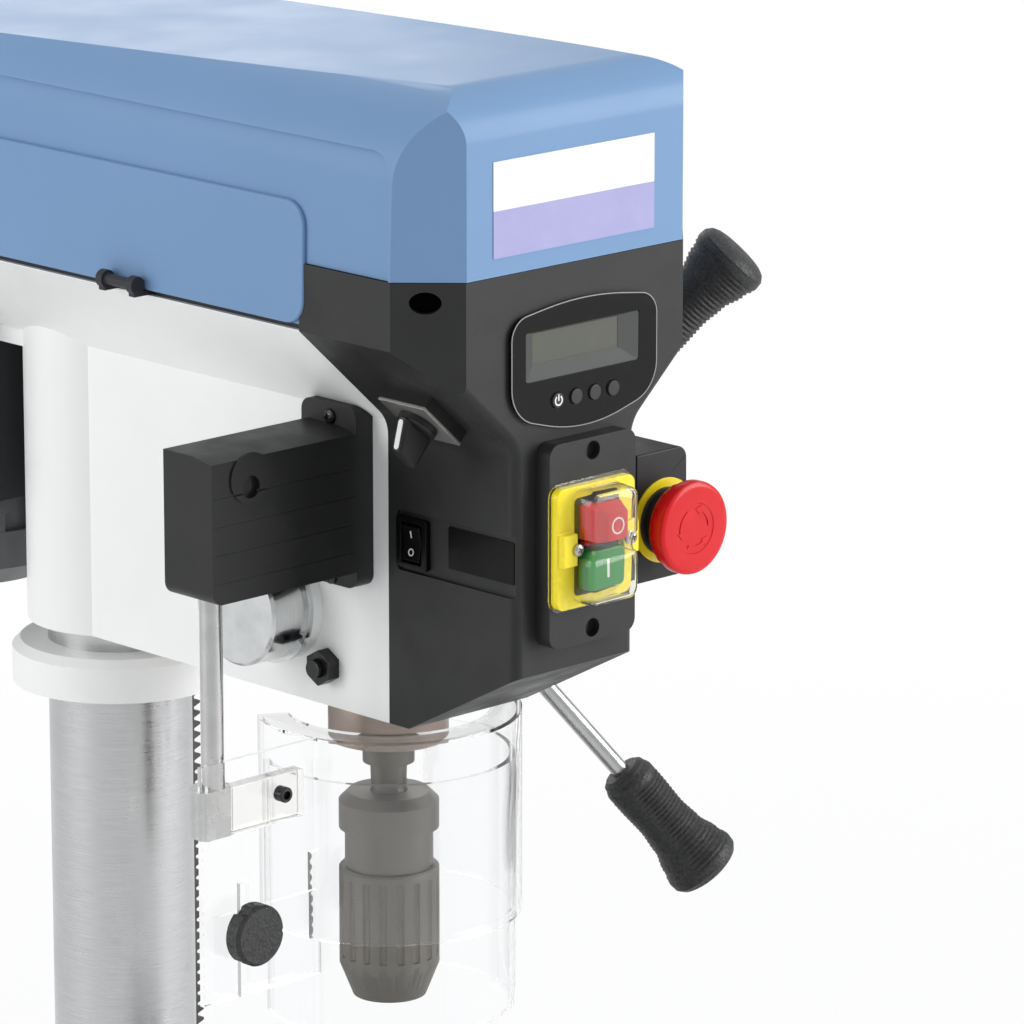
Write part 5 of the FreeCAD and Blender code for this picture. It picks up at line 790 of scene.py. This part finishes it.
class PRESS_OT_castings(PressOperator):
    """Painted castings: head, column flange, table arm"""
    bl_idname = "press.castings"
    bl_label = "Castings"

    def make(self, sizes):
        refine_all(("casting", sizes.edge_round * 1.2, 3, "head_casting column_flange table_arm"),
                   ("base", sizes.edge_round, 3, "base_casting"),
                   ("iron", sizes.edge_round, 2, "table_plate"),
                   ("casting", sizes.edge_round, 2, "rack_ring"))


class PRESS_OT_display(PressOperator):
    """Depth display: bezel with a fine pale outline, sunk window with its sloped frame, four keys"""
    bl_idname = "press.display"
    bl_label = "Display"

    def make(self, sizes):
        refine("display_bezel", "gloss_black", 0.4)
        fixed(outer_line("display_bezel", 0.55, 0.12), "pale_line", "stand")
        window = plate("display_window", rounded_outline(61.2, 16.6, 0.6), 0.3, head(-2.1, CONSOLE_FRONT, 239.9),
                       FRONT, 1.0)
        fixed(window, "lcd", "stand")
        # the window's sloped frame is a thin skin between its outer edge and the window
        outer, inner = rounded_outline(80.8, 25.8, 1.5), rounded_outline(60.8, 16.2, 0.5)
        slope = lofted("display_shelf", lifted(outer, 2.1), lifted(inner, 1.35, -4.5, 3.9),
                       head(2.4, CONSOLE_FRONT, 236.0), FRONT)
        work = opened(slope.data)
        caps = [face for face in work.faces if len(face.verts) > 4]
        bmesh.ops.delete(work, geom=caps, context="FACES_ONLY")
        closed(work, slope.data)
        thick = slope.modifiers.new("thickness", "SOLIDIFY")
        thick.thickness, thick.offset = 0.25 * MM, 0.0
        fixed(evaluated(slope), "shelf", "stand")
        refine_all(("key", 0.5, 2, "display_button_1 display_button_2 display_button_3 display_button_4"))
        low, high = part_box("display_button_1")
        at = Vector(((low[0] + high[0]) / 2, low[1], (low[2] + high[2]) / 2))
        # the power mark: an open ring with a bar in its gap
        turns = [math.radians(125 + 290 * step / 24) for step in range(25)]
        outline = arc(2.8, turns) + arc(2.0, turns[::-1])
        bar_at = at + Vector((0, 0, 1.5 * MM))
        marks = (plate("power_ring", outline, 0.16, at, FRONT, -0.02),
                 plate("power_bar", rounded_outline(0.8, 3.4, 0.3), 0.16, bar_at, FRONT, -0.02))
        fixed(merged("power_mark", *marks), "white", "key_1")


class PRESS_OT_switch(PressOperator):
    """Start and stop switch: plate, yellow housing, two buttons with their marks, clear boot, screws"""
    bl_idname = "press.switch"
    bl_label = "Start and stop switch"

    def make(self, sizes):
        housing_face, stop_face, start_face, level = 157.0, 170.0, 165.0, 135.5
        refine("switch_plate", "console", 0.8, 3)
        refine("switch_housing", "switch", 0.8, 3)
        gasket = ring("switch_gasket", rounded_outline(59.6, 68.0, 7.5), rounded_outline(50.0, 58.0, 5.0), 0.7,
                      head(0, 152.0, level), FRONT)
        fixed(bevelled(gasket, 0.2), "boot", "stand")
        well = plate("switch_well", rounded_outline(31.5, 52.0, 3.0), 0.6, head(0, housing_face, level), FRONT,
                     -0.1)
        fixed(bevelled(well, 0.2), "box", "stand")
        # the stop button is a wedge: long slopes on its left and top carry a small flat face
        foot = head(0, housing_face, 147.5)
        base = rounded_outline(25.6, 20.6, 1.6)
        flat = [(2.6 + x * 13.8 / 25.6, -1.0 + y * 15.0 / 20.6) for x, y in base]
        body = lofted("stop_button_form", lifted(base, -1.0), lifted(base, 5.0), foot, FRONT)
        crown = lofted("crown", lifted(base, 4.9), lifted(flat, stop_face - housing_face), foot, FRONT)
        stand_in("stop_button", bevelled(carve(body, crown, operation="UNION"), 0.7, 3), "stop")
        refine("start_button", "start", 1.0, 3)
        zero = ring("stop_mark", circle_outline(4.5, 40), circle_outline(3.6, 40), 0.2,
                    head(2.6, stop_face, 146.5), FRONT, -0.05)
        fixed(zero, "white", "stop")
        one = plate("start_mark", rounded_outline(1.6, 10.0, 0.6), 0.2, head(0.3, start_face, 123.8), FRONT, -0.05)
        fixed(one, "white", "start")
        # clear boot over both buttons, waisted round the screws: an open-backed shell with rounded edges
        shells = []
        outer = waisted_outline(36.0, 61.0, 6.0, 4.2)
        inner = [(x * 0.955, y * 0.972) for x, y in outer]
        for name, outline, foot, top, width, segments in (("clear_boot", outer, 0.0, 14.2, 2.6, 4),
                                                          ("room", inner, -1.0, 13.5, 1.8, 3)):
            face = [(x * 0.92, y * 0.96) for x, y in outline]
            shell = lofted(name, lifted(outline, foot), lifted(face, top), head(0, housing_face, 136.0), FRONT)
            shells.append(bevelled(shell, width, segments))
        boot = carve(*shells)
        smooth(boot.data)
        fixed(boot, "boot", "stand")
        for across, word in ((-17.5, "left"), (21.0, "right")):
            screw = cross_screw(f"switch_screw_{word}", head(across, housing_face + 4.0, level), FRONT, 3.4, 2.4)
            fixed(screw, "zinc", "stand")


def waisted_outline(width, height, radius, notch, steps=8):
    """A rounded outline with a round notch in the middle of each long side."""
    points = rounded_outline(width, height, radius)
    turns = [math.radians(90 - 180 * step / steps) for step in range(steps + 1)]
    left = [(x - width / 2, y) for x, y in arc(notch, turns, 1.25)]
    half = len(points) // 4 * 2
    return points[:half] + left + points[half:] + [(-x, -y) for x, y in left]


class PRESS_OT_emergency_stop(PressOperator):
    """Emergency stop: box, yellow ring, dark collar, red mushroom with ribs and turning arrows"""
    bl_idname = "press.emergency_stop"
    bl_label = "Emergency stop"

    def make(self, sizes):
        refine("estop_housing", "box", sizes.edge_round, 3)
        centre, level, box_face, head_back = 61.5, 134.0, 143.5, 155.0
        disc = ring("estop_ring", circle_outline(22.6, 72), circle_outline(17.0, 72), 1.4,
                    head(centre + 1.5, box_face, level), FRONT)
        fixed(bevelled(disc, 0.3), "switch", "stand")
        collar = ring("estop_collar", circle_outline(18.0, 72), circle_outline(15.6, 72), 3.0,
                      head(centre + 0.6, box_face, level), FRONT)
        fixed(bevelled(collar, 0.4), "key", "stand")
        # stem, back, ribbed rim, rounded edge, and a face that is a little sunk
        profile = [(0.0, -12.5), (9.9, -12.5), (9.9, -0.1), (20.6, 0.0), (21.6, 0.5), (22.4, 1.8), (23.4, 5.2),
                   (23.5, 5.7), (24.5, 6.0), (24.75, 6.8), (24.75, 10.6), (24.3, 12.0), (23.2, 12.8),
                   (21.6, 13.0), (13.6, 13.0), (13.2, 12.55), (0.0, 12.55)]
        ribs, rib_rows, rib_height = 18, (5, 6), 0.45

        def ribbed(number, angle):
            return rib_height if number in rib_rows and math.sin(angle * ribs) > 0.2 else 0.0

        at = head(centre, head_back, level)
        stand_in("estop_button", turned("estop_cap", profile, at, FRONT, 144, ribbed), "stop")
        arrows = []
        for index in range(3):
            start = math.radians(120 * index)
            sweep = [start + math.radians(66) * step / 10 for step in range(11)]
            end, tip = sweep[-1:], [start + math.radians(88)]
            for outline in (arc(11.2, sweep) + arc(9.4, sweep[::-1]),
                            arc(12.8, end) + arc(10.3, tip) + arc(7.8, end)):
                arrows.append(plate("arrow", outline, 0.55, at, FRONT, 12.45))
        fixed(merged("estop_arrows", *arrows), "stop", "emergency_stop")


class PRESS_OT_rotary(PressOperator):
    """Rotary switch on the flare: bright plate, black block, knob with a wedge bar and a white line"""
    bl_idname = "press.rotary"
    bl_label = "Rotary switch"

    def make(self, sizes):
        refine("rotary_plate", "silver", 0.3)
        run, rise = HEAD_TOP_HALF - HEAD_CASTING_HALF, FLARE_TOP - FLARE_LOW
        out = Vector((-rise, 0, -run)) / math.hypot(run, rise)
        along = Vector((out.z, 0, -out.x))
        facing = (out, along)
        share = 0.306
        origin = head(-HEAD_CASTING_HALF - run * share, 96.5, FLARE_LOW + rise * share)
        block = ring("rotary_block", rounded_outline(33.9, 33.9, 0.6), rounded_outline(33.0, 33.0, 0.6), 6.8,
                     origin, facing)
        fixed(block, "knob", "stand")
        # the knob: a round collar under a bar whose face leans down to one end
        collar_foot, collar_top, tip = 8.8, 12.8, 28.8
        half_length, half_width, lean = 12.0, 4.0, 8.4
        collar = turned("collar", [(0, collar_foot), (11.0, collar_foot), (11.0, collar_top - 0.8),
                                   (10.2, collar_top), (0, collar_top)], origin, facing)
        base = rounded_outline(half_width * 2, half_length * 2, 3.4)
        shorter = 1 - lean / half_length / 2
        top = [(x * 0.9, -half_length + (y + half_length) * shorter) for x, y in base]
        bar = lofted("bar", lifted(base, collar_top - 0.3), lifted(top, tip), origin, facing)
        stand_in("rotary_knob", merged("rotary_knob_form", collar, bevelled(bar, 0.7, 3)), "knob")
        height = tip - collar_top
        face = origin + out * (collar_top + height / 2) * MM + along * (half_length - lean / 2) * MM
        slope = ((along * height + out * lean).normalized(), (out * height - along * lean).normalized())
        stripe = plate("knob_line", rounded_outline(3.2, 15.5, 1.5), 0.35, face, slope, -0.1)
        fixed(stripe, "white", "mode_knob")


class PRESS_OT_guard_box(PressOperator):
    """Guard switch box: faintly grooved arm, flange with cross screws, round boss"""
    bl_idname = "press.guard_box"
    bl_label = "Guard switch box"

    def make(self, sizes):
        grooves = [plate("groove", rounded_outline(98.0, 1.3, 0.5), 3.0, head(-105.0, 35.5, level), FRONT, -0.35)
                   for level in (118.0, 133.0, 148.0, 163.0)]
        refine("guard_switch_box", "box", sizes.edge_round, 3, grooves)
        screws = [cross_screw("screw", head(-55.0, 16.0, level), LEFT, 4.0, 2.4) for level in (187.2, 101.0)]
        fixed(merged("guard_box_screws", *screws), "screw", "stand")


class PRESS_OT_guard(PressOperator):
    """Clear guard: two shields, rims, clamp knob, arm and its socket screw"""
    bl_idname = "press.guard"
    bl_label = "Chuck guard"

    def make(self, sizes):
        refine_all(("clear", 0.5, 2, "guard_upper_shield guard_lower_shield"), ("grip", 0.8, 2, "guard_knob"))
        # the arm's flat end is a clear bracket, the rest of it a plated rod
        bracket = carve(copied("guard_arm", "guard_bracket"), bracket_room(), operation="INTERSECT")
        fixed(bevelled(bracket, 1.0, 3), "boot", "guard")
        refine("guard_arm", "rod", 0.5, 2, (bracket_room(),))
        socket = turned("guard_screw", [(0, 0), (4.2, 0), (4.2, 5.4), (3.8, 6.0), (2.4, 6.0), (2.4, 3.4), (0, 3.4)],
                        head(-96.0, 19.3, -8.0), FRONT, 40)
        fixed(socket, "screw", "guard")


def bracket_room():
    """The room that holds the flat end of the guard's arm."""
    return plate("room", rounded_outline(60.0, 90.0, 0.5), 120.0, head(-97.5, -60.0, -8.0), FRONT)


class PRESS_OT_spindle(PressOperator):
    """Quill, spindle and keyless chuck"""
    bl_idname = "press.spindle"
    bl_label = "Quill, spindle and chuck"

    def make(self, sizes):
        refine_all(("quill", 0.4, 2, "quill_sleeve"),
                   ("chuck", 0.5, 2, "spindle_shaft chuck_body chuck_jaw_1 chuck_jaw_2 chuck_jaw_3"),
                   ("knurled", 0.5, 2, "chuck_sleeve"))
        dress("quill_bearings", "chrome")


class PRESS_OT_feed(PressOperator):
    """Feed hub, plated rods and ribbed grips; return-spring cap"""
    bl_idname = "press.feed"
    bl_label = "Feed handles"

    def make(self, sizes):
        refine_all(("box", 0.8, 2, "feed_hub"), ("rod", 0.4, 2, "feed_rods"), ("chrome", 0.5, 3, "spring_cap"))
        # the rods lean away from the head, a third of a turn apart
        rake, first_turn, rod_reach = math.radians(30.6), -63, 160.0
        centre = head(69.14, -37.0, 77.0)
        profile, ribs = grip_profile(), grip_ribs(sizes.grip_rib_pitch)
        grips = []
        for index in range(3):
            angle = math.radians(first_turn + 120 * index)
            out = Vector((math.sin(rake), -math.cos(rake) * math.cos(angle), math.cos(rake) * math.sin(angle)))
            grips.append(turned("grip", profile, centre + out * rod_reach * MM, (out, (1, 0, 0)), 72, ribs))
        fixed(merged("feed_grip_forms", *grips), "grip", "feed", ("feed_grips",))
        dress("return_spring", "dark")
        dress("pinion_shaft", "rod")


GRIP_LENGTH = 78.0
GRIP_SAMPLES = 156


def grip_profile():
    """Outline of a moulded grip: a swelling over the rod, a long waist, and a domed head."""
    outline = [(0.0, 10.6), (0.03, 13.2), (0.1, 15.0), (0.22, 14.9), (0.45, 14.3), (0.62, 15.6), (0.78, 19.0),
               (0.88, 21.3), (0.93, 21.0), (0.97, 18.6), (0.99, 15.0), (1.0, 10.0)]
    profile = [(5.1, 0.0), (outline[0][1], 0.0)]
    for index in range(1, GRIP_SAMPLES):
        share = index / GRIP_SAMPLES
        for (low, first), (high, second) in zip(outline, outline[1:]):
            if low <= share <= high:
                part = (share - low) / (high - low)
                radius = first + (second - first) * (part if high > 0.95 else part * part * (3 - 2 * part))
        profile.append((radius, share * GRIP_LENGTH))
    return profile + [(outline[-1][1], GRIP_LENGTH * 0.998), (5.0, GRIP_LENGTH * 1.004), (0.0, GRIP_LENGTH * 1.005)]


def grip_ribs(pitch):
    """The ribs stand on two opposite sides of the grip and leave a plain band between them."""
    def wave(number, angle):
        share = (number - 1) / GRIP_SAMPLES
        if not 0.14 < share < 0.86:
            return 0.0
        window = min(1.0, max(0.0, (abs(math.cos(angle)) - 0.5) * 4.0))
        return window * 0.45 * math.cos(math.tau * share * GRIP_LENGTH / pitch)
    return wave


class PRESS_OT_drive(PressOperator):
    """Pulleys, belts, idler arm, belt tray, motor and tension lever"""
    bl_idname = "press.drive"
    bl_label = "Belt drive and motor"

    def make(self, sizes):
        refine_all(("alloy", 0.4, 2, "spindle_pulley idler_pulley motor_pulley"),
                   ("belt", 0.5, 2, "front_belt rear_belt"),
                   ("tray", 0.4, 2, "belt_tray"),
                   ("tray", 0.8, 2, "motor_plate"),
                   ("motor", 0.8, 2, "motor_housing"),
                   ("dark", 0.6, 2, "idler_arm tension_lever"))


class PRESS_OT_column(PressOperator):
    """Column, rack, lift gear, crank, clamp lever, bolts and small screws"""
    bl_idname = "press.column"
    bl_label = "Column and lift"

    def make(self, sizes):
        dress("column_tube", "column")
        refine_all(("dark", 0.2, 1, "table_rack lift_gear"),
                   ("dark", 0.6, 2, "table_crank table_lock_lever"),
                   ("grip", 0.8, 2, "crank_grip"),
                   ("zinc", 0.6, 2, "column_flange_bolts tilt_bolt"),
                   ("screw", 0.4, 2, "fixing_screws"))


CAMERA_AT = (-2.21879, -2.47196, 1.61053)
CAMERA_AZIMUTH = -44.07
CAMERA_ELEVATION = 14.25
CAMERA_LENS = 223.0
FLOOR_REACH = 14
# soft square lamps: name, place, side in metres, power in watts; all point at the machine's middle
LIGHTS = (("left", (-3.2, 1.6, 1.7), 2.2, 52.0), ("front", (2.4, -2.8, 1.7), 2.2, 104.0),
          ("top", (0.2, -0.3, 4.0), 2.8, 30.0), ("back", (1.8, 3.4, 2.2), 2.4, 24.0))
LIT_POINT = Vector((0, 0, 0.75))
# how much of the white surroundings gloss and metal mirror
GLOSS_SHARE = 0.35
# metres from the column's foot within which the floor is least white, and beyond which it is plain white
FLOOR_NEAR, FLOOR_FAR = 0.9, 2.6
FLOOR_LEAST_WHITE = 0.72


class PRESS_OT_stage(PressOperator):
    """Camera at the reference angle, pale floor and soft studio light"""
    bl_idname = "press.stage"
    bl_label = "Stage"

    def make(self, sizes):
        scene = bpy.context.scene
        lens = bpy.data.cameras.new("view")
        lens.lens = CAMERA_LENS
        lens.sensor_width = 36.0
        lens.clip_end = 60.0
        camera = link(bpy.data.objects.new("view", lens))
        azimuth, elevation = math.radians(CAMERA_AZIMUTH), math.radians(CAMERA_ELEVATION)
        back = Vector((math.sin(azimuth) * math.cos(elevation), -math.cos(azimuth) * math.cos(elevation),
                       math.sin(elevation)))
        camera.location = CAMERA_AT
        camera.rotation_euler = back.to_track_quat("Z", "Y").to_euler()
        scene.camera = camera
        scene.view_settings.view_transform = "Standard"
        reach = FLOOR_REACH
        corners = [(-reach, -reach, 0), (reach, -reach, 0), (reach, reach, 0), (-reach, reach, 0)]
        floor = mesh_piece("floor", corners, [(0, 1, 2, 3)])
        floor.data.materials.append(floor_finish())
        for name, place, size, power in LIGHTS:
            lamp = bpy.data.lights.new(name, "AREA")
            lamp.shape = "SQUARE"
            lamp.size = size
            lamp.energy = power
            holder = link(bpy.data.objects.new(name, lamp))
            holder.location = place
            holder.rotation_euler = (LIT_POINT - Vector(place)).to_track_quat("-Z", "Y").to_euler()
        studio_world(scene)


def seen_directly(nodes):
    """1 for rays from the camera and through clear plastic, and a share of it off gloss and metal."""
    rays = nodes.add("ShaderNodeLightPath").outputs
    gloss = nodes.times(rays["Is Glossy Ray"], GLOSS_SHARE)
    seen = nodes.math("MAXIMUM", rays["Is Camera Ray"], gloss)
    return nodes.math("MAXIMUM", seen, rays["Is Transmission Ray"])


def floor_finish():
    """Pale floor: it takes the shadow near the machine and turns plain white further out."""
    finish = Finish("pale_floor")
    noise = finish.add("ShaderNodeTexNoise")
    noise.inputs["Scale"].default_value = 3.0
    tone = finish.blended(noise.outputs["Fac"], (0.90, 0.90, 0.90, 1.0), (0.93, 0.93, 0.93, 1.0))
    finish.feed(finish.shader.inputs["Base Color"], tone)
    finish.feed(finish.shader.inputs["Roughness"], 0.9)
    glow = finish.add("ShaderNodeEmission")
    glow.inputs["Color"].default_value = PLAIN_WHITE
    length = finish.add("ShaderNodeVectorMath", operation="LENGTH")
    finish.feed(length.inputs[0], finish.place)
    far = finish.ranged(length.outputs["Value"], FLOOR_NEAR, FLOOR_FAR, FLOOR_LEAST_WHITE, 1.0)
    share = finish.times(seen_directly(finish), far)
    finish.mixed(share, finish.shader.outputs["BSDF"], glow.outputs["Emission"], "Material Output")
    return finish.material


def studio_world(scene):
    """Soft light from all round, seen as plain white."""
    world = bpy.data.worlds.new("studio")
    world.use_nodes = True
    scene.world = world
    nodes = Nodes(world.node_tree)
    soft, white = nodes.tree.nodes["Background"], nodes.add("ShaderNodeBackground")
    soft.inputs["Color"].default_value = (0.92, 0.95, 1.0, 1.0)
    soft.inputs["Strength"].default_value = 0.50
    white.inputs["Color"].default_value = PLAIN_WHITE
    nodes.mixed(seen_directly(nodes), soft.outputs["Background"], white.outputs["Background"], "World Output")


STEPS = (PRESS_OT_castings, PRESS_OT_console, PRESS_OT_cover, PRESS_OT_display, PRESS_OT_switch,
         PRESS_OT_emergency_stop, PRESS_OT_rotary, PRESS_OT_guard_box, PRESS_OT_guard, PRESS_OT_spindle,
         PRESS_OT_feed, PRESS_OT_drive, PRESS_OT_column, PRESS_OT_stage)


class PRESS_PT_panel(bpy.types.Panel):
    """Lists the steps that dress the drill press"""
    bl_idname = "PRESS_PT_panel"
    bl_label = "Drill press"
    bl_space_type = "VIEW_3D"
    bl_region_type = "UI"
    bl_category = "Drill press"

    def draw(self, context):
        for group in (context.scene.press_sizes, context.scene.press_colours):
            for name in group.__annotations__:
                self.layout.prop(group, name)
        for step in STEPS:
            self.layout.operator(step.bl_idname)


CLASSES = (PressSizes, PressColours) + STEPS + (PRESS_PT_panel,)


def register():
    for member in CLASSES:
        bpy.utils.register_class(member)
    bpy.types.Scene.press_sizes = bpy.props.PointerProperty(type=PressSizes)
    bpy.types.Scene.press_colours = bpy.props.PointerProperty(type=PressColours)


def unregister():
    del bpy.types.Scene.press_colours
    del bpy.types.Scene.press_sizes
    for member in reversed(CLASSES):
        bpy.utils.unregister_class(member)


def main():
    register()
    for step in STEPS:
        group, name = step.bl_idname.split(".")
        result = getattr(getattr(bpy.ops, group), name)()
        if result != {"FINISHED"}:
            raise RuntimeError(f"{step.bl_label} did not finish")


if __name__ == "__main__":
    main()
